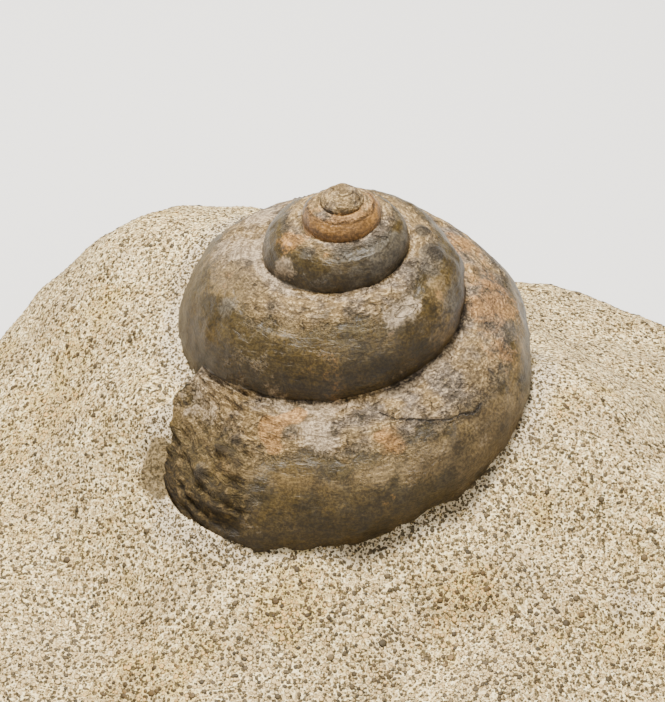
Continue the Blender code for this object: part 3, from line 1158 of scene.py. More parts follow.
    def brokenness(self, points: np.ndarray, turn: np.ndarray) -> np.ndarray:
        """How broken the surface is, 0 to 1, rising along the last part of the coil from a ragged start."""
        start, width = self.broken_from
        return rise(turn, start + self.end_edge.at(points), width)

    def whorl_width(self, turn: np.ndarray) -> np.ndarray:
        """Millimetres of surface from suture to suture, near enough, from the growth of the radius."""
        return self.width_to_growth * (self.suture_radius(turn + 1.0) - self.suture_radius(turn)) / MM

    def length_along(self, turn: np.ndarray) -> np.ndarray:
        """Millimetres along the middle of the coil from the apex: the radius summed over small turns."""
        fine = np.linspace(self.apex_turn, self.end_turn + 0.01, 1200)
        middle = (self.suture_radius(fine) + self.suture_radius(fine + 1.0)) / 2.0
        length = np.cumsum(middle) * (fine[1] - fine[0]) * 2.0 * math.pi / MM
        return np.interp(turn, fine, length)

    def crack_distance(self, turn: np.ndarray, across: np.ndarray) -> np.ndarray:
        """Signed millimetres across the coil from the crack's line, and far away past its two ends."""
        turns, places = np.array(self.crack).T
        offset = (across - np.interp(turn, turns, places)) * self.whorl_width(turn)
        beyond = np.maximum(turns[0] - turn, turn - turns[-1])
        past_end = np.maximum(beyond, 0.0) * 2.0 * math.pi * self.suture_radius(turn) / MM
        return offset + np.where(offset < 0.0, -1.0, 1.0) * past_end * 2.0 + 99.0 * (past_end > 3.0)

    def flake_distance(self, points: np.ndarray, turn: np.ndarray, across: np.ndarray) -> np.ndarray:
        """Signed millimetres inside the edge of the outer layer's plates, positive on them.

        Args:
            points: places on the shell in metres.
            turn: turns along the coil.
            across: 0 to 1 across the whorl.

        Returns:
            The larger of two distances: to the islands where a noise is high, on the ramps only, and to the
            large plates, which are boxes in turns and shares of the whorl with a wandering edge.
        """
        along = 2.0 * math.pi * self.suture_radius(turn + 0.5) / MM
        width = self.whorl_width(turn)
        wander = self.plate_edge.at(points)
        best = self.islands.at(points) - self.islands_level
        best -= self.farthest_mm * rise(across, *self.islands_end)
        for first, last, low, high in self.plates:
            inside = np.minimum(
                np.minimum(turn - first, last - turn) * along,
                np.minimum(across - low, high - across) * width,
            )
            best = np.maximum(best, inside + wander)
        return best

    def masks(
        self, points: np.ndarray, turn: np.ndarray, across: np.ndarray, height: np.ndarray
    ) -> dict[str, np.ndarray]:
        """The attributes that the finish reads.

        Args:
            points: places on the shell in metres.
            turn: turns along the coil.
            across: 0 to 1 across the whorl.
            height: the relief there in metres.

        Returns:
            Arrays by name: the patches by channel, among them painted sheen, the wear, the painted shade low
                on each whorl and in the hollows, and the coil's own lines.
        """
        found = {channel.value: np.zeros(points.shape[:-1]) for channel in Channel}
        for channel, rows in self.patches.items():
            for x, y, z, size, strength in rows:
                found[channel.value] += strength * soft_spot(points, (x, y, z), size, self.patch_sharpness)
        found["rust"] += self.rusty_base * self.rusty_whorl.at(turn) * (1.0 + rise(across, *self.rusty_side))
        found["slate"] += self.grey_strength * self.grey_whorl.at(turn) * rise(across, *self.grey_side)
        collar = hump(across, *self.collar_line) * rise(turn, *self.collar_turns)
        dusted_end = rise(turn, *self.dusted_turns) * fall(across, *self.dusted_side)
        found["chalk"] += self.dust_strength * (collar + dusted_end)

        broken = self.brokenness(points, turn)
        extra, width = self.worn_edge
        ramp = fall(across, np.interp(turn, *np.array(self.worn_share).T) + extra, width)
        strength = self.worn_strength
        found["wear"] = ramp * strength + broken * (1.0 - strength) + self.wear_lumps.at(points)
        found["broken"] = broken
        # The under attribute is painted shade: low on each whorl, on the base and on the older whorls' sides;
        # lit spares the tip's whorls.
        under = rise(across, *self.painted_shade_side) * np.where(across <= 1.0, 1.0, self.painted_shade_base)
        under += self.upper_painted_shade * fall(turn, *self.upper_turns) * rise(across, *self.upper_side)
        lit = 1.0 - self.tip_light * fall(turn, *self.tip_turns)
        found["under"] = np.clip(under, 0.0, 1.0) * lit
        found["band"] = hump(across, *self.band_line) * rise(turn, *self.band_turns)
        farthest = self.farthest_mm
        found["crack"] = np.clip(self.crack_distance(turn, across), -farthest, farthest)
        found["flake"] = np.clip(self.flake_distance(points, turn, across), -farthest, farthest)
        # painted shade in the hollows, darker the further the relief sinks
        slope, level = self.hollow_law
        found["hollow_shade"] = np.clip(-height / MM * slope - level, 0.0, self.hollow_most)
        found["coil_along"] = self.length_along(turn)
        found["coil_across"] = across * self.whorl_width(turn)
        return found

    def build(self, finish: bpy.types.Material) -> bpy.types.Object:
        """Makes the shell's mesh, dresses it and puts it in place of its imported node.

        Args:
            finish: the shell's material.

        Returns:
            The shell's object.
        """
        last_even = self.uncrowded(self.end_turn)
        rows = round((last_even - self.apex_turn) * self.rows_a_turn)
        steps = self.whorl_steps
        even = last_even - np.arange(rows, -1, -1) / self.rows_a_turn
        turn = self.crowd(even)[:, None]
        across = (np.arange(steps + 1) / steps)[None, :]
        turn, across = np.broadcast_arrays(turn, across)
        whorls = self.place(turn, *self.profile(turn, across))
        ribs_from = rows - self.rows_a_turn
        down = (np.arange(self.base_steps + 1) / self.base_steps) ** self.base_crowding
        base_turn, base_fall = np.broadcast_arrays(turn[ribs_from:, :1], down[None, :])
        base = self.place(base_turn, *self.base_profile(base_turn, base_fall))
        base_across = 1.0 + base_fall

        whorl_height = self.relief(whorls, turn, across)
        base_height = self.relief(base, base_turn, base_across) * (1.0 - base_fall)
        verts = np.concatenate([
            (whorls - grid_normals(whorls) * whorl_height[..., None]).reshape(-1, 3),
            (base - grid_normals(base) * base_height[..., None]).reshape(-1, 3),
        ])
        number = np.arange((rows + 1) * (steps + 1)).reshape(rows + 1, steps + 1)
        number[: rows + 1 - self.rows_a_turn, -1] = number[self.rows_a_turn:, 0]
        rib = number.size + np.arange(base_turn.size).reshape(base_turn.shape)
        rib[:, 0] = number[ribs_from:, -1]
        rib[:, -1] = rib[0, -1]
        tip = len(verts)

        def strip(table: np.ndarray) -> np.ndarray:
            """The quads of a table of corner numbers."""
            corners = [table[:-1, :-1], table[:-1, 1:], table[1:, 1:], table[1:, :-1]]
            return np.stack(corners, axis=-1).reshape(-1, 4)

        rim = np.concatenate([number[: self.rows_a_turn + 1, 0], number[0, -2:0:-1]])
        verts = np.concatenate([verts, verts[rim].mean(axis=0, keepdims=True) + (0.0, 0.0, self.tip_rise)])
        fan = np.stack([np.full(len(rim), tip), rim, np.roll(rim, -1)], axis=-1)
        last_fan = np.stack([rib[:-1, -2], np.full(len(rib) - 1, rib[0, -1]), rib[1:, -2]], axis=-1)
        cap = np.concatenate([number[-1], rib[-1, 1:], rib[0, -2:0:-1]])[None, :]
        faces = [strip(number), strip(rib[:, :-1]), fan, last_fan, cap]
        attributes = {}
        whorl_masks = self.masks(whorls, turn, across, whorl_height)
        base_masks = self.masks(base, base_turn, base_across, base_height)
        for key, values in whorl_masks.items():
            attributes[key] = np.concatenate([values.ravel(), base_masks[key].ravel(), values[:1, 0]])
        piece = new_piece(self.node + "_surface", *drop_unused(verts, faces, attributes))
        face_outwards(piece)
        piece.data.materials.append(finish)
        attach(piece, "root")
        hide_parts(self.node)
        return piece

    def crowd(self, even: np.ndarray) -> np.ndarray:
        """Evenly spaced turns, crowded at the front of every whorl by taking away a sine of the turn."""
        return even - self.front_crowding / (2.0 * math.pi) * np.sin(2.0 * math.pi * even)

    def uncrowded(self, turn: float) -> float:
        """The even turn that is crowded to a given one, read off a fine table."""
        even = np.linspace(turn - 0.5, turn + 0.5, 2001)
        return float(np.interp(turn, self.crowd(even), even))

    def base_profile(self, turn: np.ndarray, fall: np.ndarray) -> tuple[np.ndarray, np.ndarray]:
        """The base below the last turn: a quarter of an ellipse from its edge down to the axis.

        Args:
            turn: turns along the coil.
            fall: 0 at the edge to 1 at the middle of the base.

        Returns:
            The distance from the axis and the depth below the apex.
        """
        bottom = self.cone_depth(self.suture_radius(np.array(self.end_turn))) + self.base_height
        edge_radius, edge_depth = self.profile(turn, np.ones_like(turn))
        swing = fall * math.pi / 2.0
        return edge_radius * np.cos(swing), edge_depth + (bottom - edge_depth) * np.sin(swing)


def drop_unused(
    verts: np.ndarray, faces: list[np.ndarray], attributes: dict[str, np.ndarray]
) -> tuple[np.ndarray, list[np.ndarray], dict[str, np.ndarray]]:
    """Leaves out the points that no face uses, and renumbers the faces to match.

    Args:
        verts: points in metres.
        faces: arrays of corner numbers.
        attributes: a number for each point, by name.

    Returns:
        The points, faces and attributes that are left.
    """
    used = np.unique(np.concatenate([block.ravel() for block in faces]))
    renumber = np.zeros(len(verts), dtype=np.int64)
    renumber[used] = np.arange(len(used))
    kept = {key: values[used] for key, values in attributes.items()}
    return verts[used], [renumber[block] for block in faces], kept


def face_outwards(piece: bpy.types.Object) -> None:
    """Turns a closed mesh the right way out by the sign of its volume: the sum of corner triple products."""
    mesh = piece.data
    mesh.calc_loop_triangles()
    corners = np.empty(len(mesh.loop_triangles) * 3, dtype=np.int32)
    mesh.loop_triangles.foreach_get("vertices", corners)
    places = np.empty(len(mesh.vertices) * 3)
    mesh.vertices.foreach_get("co", places)
    first, second, third = places.reshape(-1, 3)[corners.reshape(-1, 3)].transpose(1, 0, 2)
    if np.einsum("ij,ij->i", first, np.cross(second, third)).sum() < 0.0:
        mesh.flip_normals()


# The block

@dataclass
class LimestoneBlock:
    """The stone: a domed top, rounded edges and a flat sawn underside, with a dip under the shell.

    Sizes are in metres. Heights of relief, the drift's crests and the soft spots are in millimetres.
    """

    shell: FossilShell
    node: str = "limestone_matrix"
    half_x: float = 94.0 * MM
    half_y: float = 78.0 * MM
    corner_power: float = 2.4
    waves: tuple[tuple[int, float, float], ...] = (
        (2, 0.020, 0.6), (3, 0.026, 2.1), (5, 0.012, 4.0), (7, 0.008, 1.0),
    )
    top_power: float = 3.5
    widest_height: float = 16.0 * MM
    underside_share: float = 0.90
    lumps: tuple[tuple[float, float, int], ...] = ((46.0 * MM, 1.3 * MM, 3), (21.0 * MM, 0.6 * MM, 8))
    summit: tuple[float, float, float] = (-29.0 * MM, 40.0 * MM, 65.4 * MM)
    ridge_skew: float = -0.60
    fall_right: tuple[float, float] = (1.5 * MM, 0.275)
    fall_left: tuple[float, float] = (9.0 * MM, 0.41)
    fall_front: tuple[float, float] = (4.3 * MM, 0.453)
    fall_back: tuple[float, float] = (6.0 * MM, 0.50)
    mound: tuple[float, float, float, float] = (-42.0 * MM, 2.0 * MM, 14.0 * MM, 6.0 * MM)
    shelf_height: float = 27.0 * MM
    shelf_blend: float = 9.0 * MM
    drift: tuple[Place, ...] = (
        (-41.2, -7.6, 46.2), (-41.2, -9.8, 45.0), (-40.3, -12.6, 43.3), (-38.6, -15.2, 42.0),
        (-36.7, -17.5, 42.0), (-33.1, -21.5, 42.7), (-30.2, -24.0, 42.9), (-26.9, -25.9, 42.9),
        (-22.7, -27.4, 42.3),
    )
    drift_slope: float = 0.80
    drift_reach: float = 14.0
    drift_steps: int = 34
    film_spots: tuple[tuple[Place, float], ...] = (
        ((-41.0, -10.4, 44.6), 3.2), ((-40.0, -13.6, 42.6), 2.8), ((-40.2, -7.4, 46.8), 2.6),
    )
    ochre_spots: tuple[tuple[Place, float], ...] = (
        ((-13.4, -37.0, 37.1), 8.0), ((-62.7, 10.7, 35.9), 10.0), ((-51.5, 32.1, 49.4), 9.0),
        ((37.0, 3.0, 47.0), 6.0), ((37.0, -3.0, 46.5), 4.5), ((31.0, -20.0, 42.0), 5.0),
        ((40.0, -14.0, 42.0), 4.5), ((44.0, 7.0, 46.5), 5.0), ((20.0, -33.0, 38.0), 6.0),
    )
    smear_middle: Place = (46.2, -35.4, 35.6)
    smear_size: Place = (5.0, 9.0, 9.0)
    smear_strength: float = 0.85
    crust_reach: float = 5.0 * MM
    broad_relief: Lumps = Lumps(0.28, 7.0 * MM, 2, 101)
    fine_relief: Lumps = Lumps(0.09, 1.7 * MM, 2, 107)
    pitting: Pitting = Pitting(0.25, 3.4 * MM, 0.34, 113)
    collar_lumps: Lumps = Lumps(0.55, 2.6 * MM, 3, 119)
    collar_height: float = 0.45
    collar_width: float = 2.2 * MM
    bands: Lumps = Lumps(1.0, 5.0 * MM, 2, 137)
    band_height: float = 0.16
    flank_lumps: Lumps = Lumps(1.00, 15.0 * MM, 3, 127)
    film_lumps: Lumps = Lumps(0.8, 3.2 * MM, 3, 149)
    crust_wander: Lumps = Lumps(0.6, 11.0 * MM, 1, 139)
    crust_power: float = 1.5
    band_direction: Span = (0.90, 0.43)
    band_stretch: float = 5.0
    flank_from: Span = (0.45, 0.4)
    flank_shift: float = 0.3
    calm_height: float = 2.0 * MM
    clinging_relief: float = 0.4 * MM
    banked_relief: float = 0.5 * MM
    socket_slope: float = 1.6
    socket_overlap: float = 0.6 * MM
    socket_depth: float = 14.0 * MM
    spokes: int = 600
    rings: int = 156
    centre: tuple[float, float] = (0.0, 0.0)

    def __post_init__(self) -> None:
        """Finds the middle of the outline's box, which the block is moved by."""
        angle = np.linspace(0.0, 2.0 * math.pi, 721)
        x = self.outline(angle) * np.cos(angle)
        y = self.outline(angle) * np.sin(angle)
        self.centre = ((x.min() + x.max()) / 2.0, (y.min() + y.max()) / 2.0)

    def outline(self, angle: np.ndarray) -> np.ndarray:
        """The plan radius in a direction: a superellipse with a few low waves."""
        across = np.abs(np.cos(angle) / self.half_x) ** self.corner_power
        along = np.abs(np.sin(angle) / self.half_y) ** self.corner_power
        radius = (across + along) ** (-1.0 / self.corner_power)
        for count, size, phase in self.waves:
            radius = radius * (1.0 + size * np.sin(count * angle + phase))
        return radius

    def dome(self, x: np.ndarray, y: np.ndarray) -> np.ndarray:
        """The height of the top before its edge rounds off: a skewed ridge, a mound and a low shelf."""
        def drop(distance: np.ndarray, law: tuple[float, float]) -> np.ndarray:
            """Round at first, then an even slope."""
            return np.sqrt(law[0] ** 2 + (law[1] * distance) ** 2) - law[0]

        dx = x - self.summit[0]
        dy = y - self.summit[1] - self.ridge_skew * dx
        drop_x = np.where(dx > 0.0, drop(dx, self.fall_right), drop(dx, self.fall_left))
        drop_y = np.where(dy > 0.0, drop(dy, self.fall_back), drop(dy, self.fall_front))
        from_mound = ((x - self.mound[0]) ** 2 + (y - self.mound[1]) ** 2) / self.mound[2] ** 2
        above = self.summit[2] - drop_x - drop_y - self.shelf_height
        above = (above + np.sqrt(above**2 + self.shelf_blend**2)) / 2.0
        return self.shelf_height + above + self.mound[3] * np.exp(-from_mound)

    def smooth_point(self, angle: np.ndarray, turn: np.ndarray) -> np.ndarray:
        """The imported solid's own skin: turn runs 0 to 1 over the top and 1 to 2 down and under the side."""
        over = np.clip(turn, 0.0, 1.0) * math.pi / 2.0
        under = np.clip(turn - 1.0, 0.0, 1.0) * math.pi / 2.0
        share = np.sin(over) ** (2.0 / self.top_power)
        level = np.maximum(np.cos(over), 0.0) ** (2.0 / self.top_power)
        share = share * (1.0 - (1.0 - self.underside_share) * (1.0 - np.cos(under)))
        x = self.outline(angle) * share * np.cos(angle) - self.centre[0]
        y = self.outline(angle) * share * np.sin(angle) - self.centre[1]
        top = self.widest_height + (self.dome(x, y) - self.widest_height) * level
        z = np.where(turn <= 1.0, top, self.widest_height * (1.0 - np.sin(under)))
        lift = sum(size * plane_waves(x, y, z, length, seed) for length, size, seed in self.lumps)
        inward = smoothstep(z / self.widest_height) * smoothstep(2.0 - turn)
        return np.stack([x, y, z + lift * inward * level**2], axis=-1)

    def surface(self, angle: np.ndarray, turn: np.ndarray) -> tuple[np.ndarray, np.ndarray, np.ndarray]:
        """The finished skin: the smooth one moved along its normal by relief, and dipped under the shell.

        Args:
            angle: the direction from the middle, in radians.
            turn: 0 to 1 over the top and 1 to 2 down the side.

        Returns:
            The points, their normals, and how far outside the shell each one is.
        """
        small = 1e-3
        here = self.smooth_point(angle, turn)
        around = self.smooth_point(angle + small, turn) - here
        outward = self.smooth_point(angle, turn + np.where(turn > 1.99, -small, small)) - here
        outward = np.where((turn > 1.99)[..., None], -outward, outward)
        normal = np.cross(outward, around)
        normal /= np.maximum(np.linalg.norm(normal, axis=-1, keepdims=True), 1e-12)
        gap = self.shell.gap(here)
        height = self.broad_relief.at(here) + self.fine_relief.at(here) - self.pitting.at(here)
        collar = np.exp(-np.maximum(gap, 0.0) / self.collar_width)
        height += collar * (self.collar_height + self.collar_lumps.at(here))
        height += self.band_height * self.banding(here)
        height += rise(turn, *self.flank_from) * (self.flank_lumps.at(here) - self.flank_shift)
        calm = rise(here[..., 2], 0.0, self.calm_height)
        place = here + normal * (height * calm * MM)[..., None]
        clinging = self.shell.fill_height(here) + self.clinging_relief * height
        rough = self.film_lumps.at(here) * MM * self.film(here)
        banked = self.drift_height(here) + rough + self.banked_relief * height
        place[..., 2] = np.maximum(np.maximum(place[..., 2], clinging), banked)
        place[..., 2] -= np.clip(-self.socket_slope * (gap + self.socket_overlap), 0.0, self.socket_depth)
        return place, normal, gap

    def drift_height(self, points: np.ndarray) -> np.ndarray:
        """The height of the stone banked up below the broken end: even slopes away from a row of crests."""
        height = np.full(points.shape[:-1], FAR_BELOW)
        knots = np.arange(len(self.drift))
        for place in np.linspace(0.0, knots[-1], self.drift_steps):
            x, y, crest = (np.interp(place, knots, column) for column in np.array(self.drift).T)
            away = np.hypot(points[..., 0] / MM - x, points[..., 1] / MM - y)
            bank = np.where(away < self.drift_reach, (crest - self.drift_slope * away) * MM, FAR_BELOW)
            height = np.maximum(height, bank)
        return height

    def film(self, points: np.ndarray) -> np.ndarray:
        """How far the stone left of the broken end is stained, 0 to 1: a sum of soft spots."""
        return np.minimum(sum(soft_spot(points, middle, size) for middle, size in self.film_spots), 1.0)

    def banding(self, points: np.ndarray) -> np.ndarray:
        """Faint slanting bands, about -1 to 1: noise drawn out five times in one level direction."""
        east, north = self.band_direction
        along = (points[..., 0] * east + points[..., 1] * north) / self.band_stretch
        across = points[..., 1] * east - points[..., 0] * north
        return self.bands.at(np.stack([along, across, np.zeros_like(along)], axis=-1))

    def crust_and_shade(self, points: np.ndarray, gap: np.ndarray) -> np.ndarray:
        """How much of the grey-tan encrustation there is, 0 to 1, with painted shade where the stone meets
        the shell: it fades away from the shell and from one smear.
        """
        away = (points / MM - np.array(self.smear_middle)) / np.array(self.smear_size)
        smear = self.smear_strength * hump(np.linalg.norm(away, axis=-1), 0.0, 1.0)
        reach = self.crust_reach * (1.0 + self.crust_wander.at(points))
        near_shell = np.exp(-((np.maximum(gap, 0.0) / reach) ** self.crust_power))
        return np.maximum(near_shell, smear)

    def ochre(self, points: np.ndarray) -> np.ndarray:
        """How stained the stone is, 0 to 1 and a little over: a sum of soft spots."""
        return sum(soft_spot(points, middle, size) for middle, size in self.ochre_spots)

    def ring_turns(self, rings: int) -> np.ndarray:
        """Turns at even steps of length along the mean meridian from the middle to the underside's edge."""
        fine = np.linspace(0.0, 2.0, 2001) ** 1.5 / math.sqrt(2.0)
        spoke = np.stack([self.smooth_point(np.full(fine.size, a), fine) for a in (0.0, 1.6, 3.1, 4.7)])
        lengths = np.linalg.norm(np.diff(spoke, axis=1), axis=-1).mean(axis=0)
        along = np.concatenate(([0.0], np.cumsum(lengths)))
        return np.interp(np.linspace(0.0, along[-1], rings + 1)[1:], along, fine)

    def build(self, finish: bpy.types.Material) -> bpy.types.Object:
        """Makes the block's mesh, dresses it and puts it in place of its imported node.

        Args:
            finish: the stone's material.

        Returns:
            The block's object.
        """
        turns = self.ring_turns(self.rings)
        angles = np.arange(self.spokes) / self.spokes * 2.0 * math.pi
        angle, turn = np.meshgrid(angles, turns)
        skin, _, gap = self.surface(angle, turn)
        top = self.surface(np.zeros(1), np.full(1, 1e-4))[0]
        bottom = np.zeros((1, 3))
        verts = np.concatenate([skin.reshape(-1, 3), top, bottom])
        number = np.arange(skin.shape[0] * skin.shape[1]).reshape(skin.shape[:2])
        beside = np.roll(number, -1, axis=1)
        quads = np.stack([number[:-1], number[1:], beside[1:], beside[:-1]], axis=-1).reshape(-1, 4)
        middle = np.full(self.spokes, number.size)
        faces = [
            quads,
            np.stack([middle, number[0], beside[0]], axis=-1),
            np.stack([middle + 1, beside[-1], number[-1]], axis=-1),
        ]
        attributes = {}
        for key, values, at_top in (
            ("crust_and_shade", self.crust_and_shade(skin, gap), 1.0), ("ochre", self.ochre(skin), 0.0),
            ("film", self.film(skin), 0.0), ("vein", self.banding(skin), 0.0),
        ):
            attributes[key] = np.concatenate([values.ravel(), [at_top, 0.0]])
        piece = new_piece(self.node + "_surface", verts, faces, attributes)
        face_outwards(piece)
        piece.data.materials.append(finish)
        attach(piece, "root")
        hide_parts(self.node)
        return piece


@dataclass
class OoidGrains:
    """The round grains that stand out of the stone, joined into a few pieces."""

    block: LimestoneBlock
    pitch: float = 1.06 * MM
    mean_radius: float = 0.36 * MM
    spread: float = 0.26
    kept_share: float = 0.90
    pieces: int = 4
    seed: int = 7
    sides: int = 6
    inner_ring: Span = (0.72, 0.22)
    outer_height: float = 0.05
    top_height: float = 0.26
    bottom_height: float = -0.35
    strip_length: float = 130.0 * MM
    jitter: float = 0.42
    full_turn: float = 6.28
    turn_limits: Span = (0.001, 1.97)
    radius_limits: Span = (0.18 * MM, 0.95 * MM)
    crusted_shrink: float = 0.22
    crusted_darken: float = 0.6
    least_aspect: float = 0.68
    sunk_share: float = 0.10
    dome_share: float = 0.8
    tone_shape: Span = (1.4, 1.9)
    patchiness: Lumps = Lumps(0.35, 9.0 * MM, 2, 131)
    crusted_thinning: float = 0.15
    bare_share: Span = (0.60, 0.55)
    band_share: float = 0.45
    across_hint: Place = (0.31, 0.95, 0.05)
    clear_of_shell: float = 0.4 * MM
    clear_of_floor: float = 1.0 * MM

    def template(self) -> tuple[np.ndarray, np.ndarray]:
        """A closed low dome: a top, two rings and a bottom.

        Returns:
            Its points with a unit radius, and its triangles.
        """
        sides = self.sides
        around = np.arange(sides) / sides * 2.0 * math.pi
        ring = np.stack([np.cos(around), np.sin(around)], axis=-1)
        upper = np.column_stack([self.inner_ring[0] * ring, np.full(sides, self.inner_ring[1])])
        lower = np.column_stack([ring, np.full(sides, self.outer_height)])
        top, bottom = (0.0, 0.0, self.top_height), (0.0, 0.0, self.bottom_height)
        points = np.concatenate([[top], upper, lower, [bottom]])
        here = 1 + np.arange(sides)
        there = 1 + (np.arange(sides) + 1) % sides
        triangles = np.concatenate([
            np.stack([np.zeros(sides, int), here, there], axis=-1),
            np.stack([here, sides + here, sides + there], axis=-1),
            np.stack([here, sides + there, there], axis=-1),
            np.stack([np.full(sides, 2 * sides + 1), sides + there, sides + here], axis=-1),
        ])
        return points, triangles

    def scatter(self, draw: np.random.Generator) -> tuple[np.ndarray, np.ndarray, np.ndarray]:
        """Jittered places on rings round the block, each ring a pitch from the last.

        Args:
            draw: the source of random numbers.

        Returns:
            The points and the normals of the kept grains, and how close to the shell each one is, 0 to 1.
        """
        turns = self.block.ring_turns(round(self.strip_length / self.pitch))
        ring = self.block.smooth_point(np.linspace(0.0, 2.0 * math.pi, 73)[None, :], turns[:, None])
        lengths = np.linalg.norm(np.diff(ring[..., :2], axis=1), axis=-1).sum(axis=1)
        counts = np.maximum(6, (lengths / self.pitch).astype(int))
        which = np.repeat(np.arange(len(turns)), counts)
        order = np.arange(len(which)) - np.repeat(np.cumsum(counts) - counts, counts)
        angle = (order + draw.uniform(-self.jitter, self.jitter, len(which))) / counts[which] * 2.0 * math.pi
        angle += draw.uniform(0.0, self.full_turn, len(turns))[which]
        step = np.gradient(turns)[which]
        turn = turns[which] + draw.uniform(-self.jitter, self.jitter, len(which)) * step
        turn = np.clip(turn, *self.turn_limits)
        place, normal, gap = self.block.surface(angle, turn)
        bare = 0.5 + self.patchiness.at(place) + self.band_share * self.block.banding(place)
        crusted = self.block.crust_and_shade(place, gap)
        least, more = self.bare_share
        share = self.kept_share * (1.0 - self.crusted_thinning * crusted) * (least + more * bare)
        keep = draw.uniform(size=len(which)) < share
        keep &= (gap > self.clear_of_shell) & (place[:, 2] > self.clear_of_floor)
        keep &= self.block.film(place) < 0.5
        return place[keep], normal[keep], crusted[keep]

    def build(self, finish: bpy.types.Material) -> list[bpy.types.Object]:
        """Makes the grains as joined meshes and dresses them.

        Args:
            finish: the grains' material.

        Returns:
            The pieces.
        """
        draw = np.random.default_rng(self.seed)
        place, normal, crusted = self.scatter(draw)
        count = len(place)
        points, triangles = self.template()
        radius = self.mean_radius * np.exp(self.spread * draw.normal(size=count))
        radius = np.clip(radius * (1.0 - self.crusted_shrink * crusted), *self.radius_limits)
        aspect = draw.uniform(self.least_aspect, 1.0, count)
        spin = draw.uniform(0.0, 2.0 * math.pi, count)
        side = np.cross(normal, np.array(self.across_hint))
        side /= np.linalg.norm(side, axis=-1, keepdims=True)
        front = np.cross(normal, side)
        east = side * np.cos(spin)[:, None] + front * np.sin(spin)[:, None]
        north = np.cross(normal, east)
        sunk = draw.uniform(-self.sunk_share, self.sunk_share, count)
        local = points[None, :, :] * radius[:, None, None]
        verts = place[:, None, :] + local[..., 0:1] * east[:, None, :]
        verts = verts + local[..., 1:2] * (north * aspect[:, None])[:, None, :]
        lift = local[..., 2:3] * self.dome_share + (sunk * radius)[:, None, None]
        verts = verts + lift * normal[:, None, :]
        reach = np.hypot(points[:, 0], points[:, 1])
        tone = draw.beta(*self.tone_shape, count) * (1.0 - self.crusted_darken * crusted)
        made = []
        for index, chosen in enumerate(np.array_split(np.arange(count), self.pieces)):
            faces = triangles[None] + (np.arange(len(chosen)) * len(points))[:, None, None]
            attributes = {
                "tone": np.repeat(tone[chosen], len(points)),
                "ochre": np.repeat(self.block.ochre(place[chosen]), len(points)),
                "reach": np.tile(reach, len(chosen)),
            }
            name = f"ooid_grains_{index + 1}"
            piece = new_piece(name, verts[chosen].reshape(-1, 3), [faces.reshape(-1, 3)], attributes)
            piece.data.materials.append(finish)
            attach(piece, "root")
            made.append(piece)
        return made


# The studio

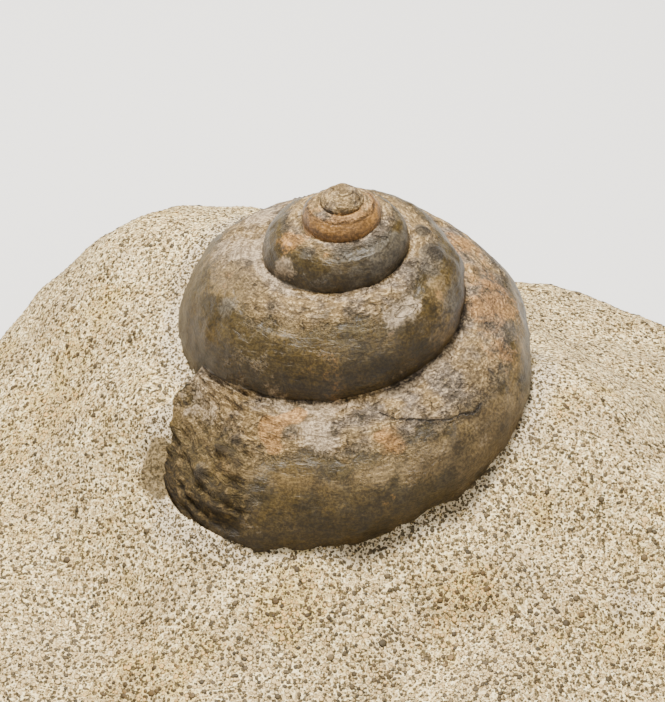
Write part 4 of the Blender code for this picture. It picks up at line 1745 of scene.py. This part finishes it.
@dataclass
class Studio:
    """The floor, the soft lights and the camera at the photograph's viewing angle."""

    shell: FossilShell
    distance: float = 352.0 * MM
    elevation: float = math.radians(37.3)
    focal_pixels: float = 1900.0
    frame_pixels: tuple[int, int] = (665, 702)
    apex_pixel: tuple[float, float] = (345.0, 187.2)
    sensor: float = 36.0
    near_clip: float = 0.01
    aim_height: float = 0.05
    floor_half: float = 3.0
    sky_strength: float = 0.22
    lamps: tuple[tuple[str, Place, float, float, Colour], ...] = (
        ("key", (-0.10, 0.22, 0.75), 0.22, 20.0, (1.0, 0.97, 0.92)),
        ("fill", (0.30, -0.70, 0.75), 0.50, 5.6, (1.0, 0.98, 0.95)),
    )

    def camera(self) -> None:
        """Places the camera so that the apex falls on its pixel, with a level horizon and no shift."""
        data = bpy.data.cameras.new("camera")
        data.sensor_fit = "VERTICAL"
        data.sensor_height = self.sensor
        data.lens = self.sensor * self.focal_pixels / self.frame_pixels[1]
        data.clip_start = self.near_clip
        camera = bpy.data.objects.new("camera", data)
        bpy.context.scene.collection.objects.link(camera)
        x, y = self.shell.axis
        back = self.distance * math.cos(self.elevation)
        camera.location = (x, y - back, self.shell.apex_height + self.distance * math.sin(self.elevation))
        right_of_middle = self.apex_pixel[0] - self.frame_pixels[0] / 2.0
        above_middle = self.frame_pixels[1] / 2.0 - self.apex_pixel[1]
        pitch = self.elevation + math.atan(above_middle / self.focal_pixels)
        yaw = math.atan(right_of_middle / self.focal_pixels)
        camera.rotation_euler = Euler((math.pi / 2.0 - pitch, 0.0, yaw))
        bpy.context.scene.camera = camera

    def lamp(self, name: str, place: Place, size: float, power: float, tint: Colour) -> None:
        """Adds a soft area light that points at the shell.

        Args:
            name: the light's name.
            place: where it stands, in metres.
            size: how wide it is in metres.
            power: its strength in watts.
            tint: its colour.
        """
        data = bpy.data.lights.new(name, "AREA")
        data.shape = "DISK"
        data.size = size
        data.energy = power
        data.color = tint
        light = bpy.data.objects.new(name, data)
        light.location = place
        bpy.context.scene.collection.objects.link(light)
        aim = np.array((self.shell.axis[0], self.shell.axis[1], self.aim_height)) - np.array(place)
        light.rotation_euler = Euler((
            math.atan2(math.hypot(aim[0], aim[1]), -aim[2]), 0.0, math.atan2(-aim[0], aim[1])))

    def build(self, finish: bpy.types.Material) -> None:
        """Sets the floor, the lights, the even sky and the camera."""
        half = self.floor_half
        corners = np.array([(-half, -half, 0.0), (half, -half, 0.0), (half, half, 0.0), (-half, half, 0.0)])
        floor = new_piece("floor", corners, [np.array([[0, 1, 2, 3]])], {})
        floor.data.materials.append(finish)
        for lamp in self.lamps:
            self.lamp(*lamp)
        world = bpy.data.worlds.new("studio")
        world.use_nodes = True
        sky = world.node_tree.nodes["Background"]
        sky.inputs["Color"].default_value = (1.0, 1.0, 1.0, 1.0)
        sky.inputs["Strength"].default_value = self.sky_strength
        bpy.context.scene.world = world
        self.camera()


def main() -> None:
    """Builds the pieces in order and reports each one."""
    logging.basicConfig(level=logging.INFO, format="%(message)s")
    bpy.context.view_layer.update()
    shell = FossilShell()
    block = LimestoneBlock(shell)
    pieces = [shell.build(ShellFinish().build()), block.build(StoneFinish().build())]
    pieces += OoidGrains(block).build(GrainFinish().build())
    Studio(shell).build(FloorFinish().build())
    for piece in pieces:
        piece.data.calc_loop_triangles()
        log.info("%s: %d triangles", piece.name, len(piece.data.loop_triangles))


if __name__ == "__main__":
    main()
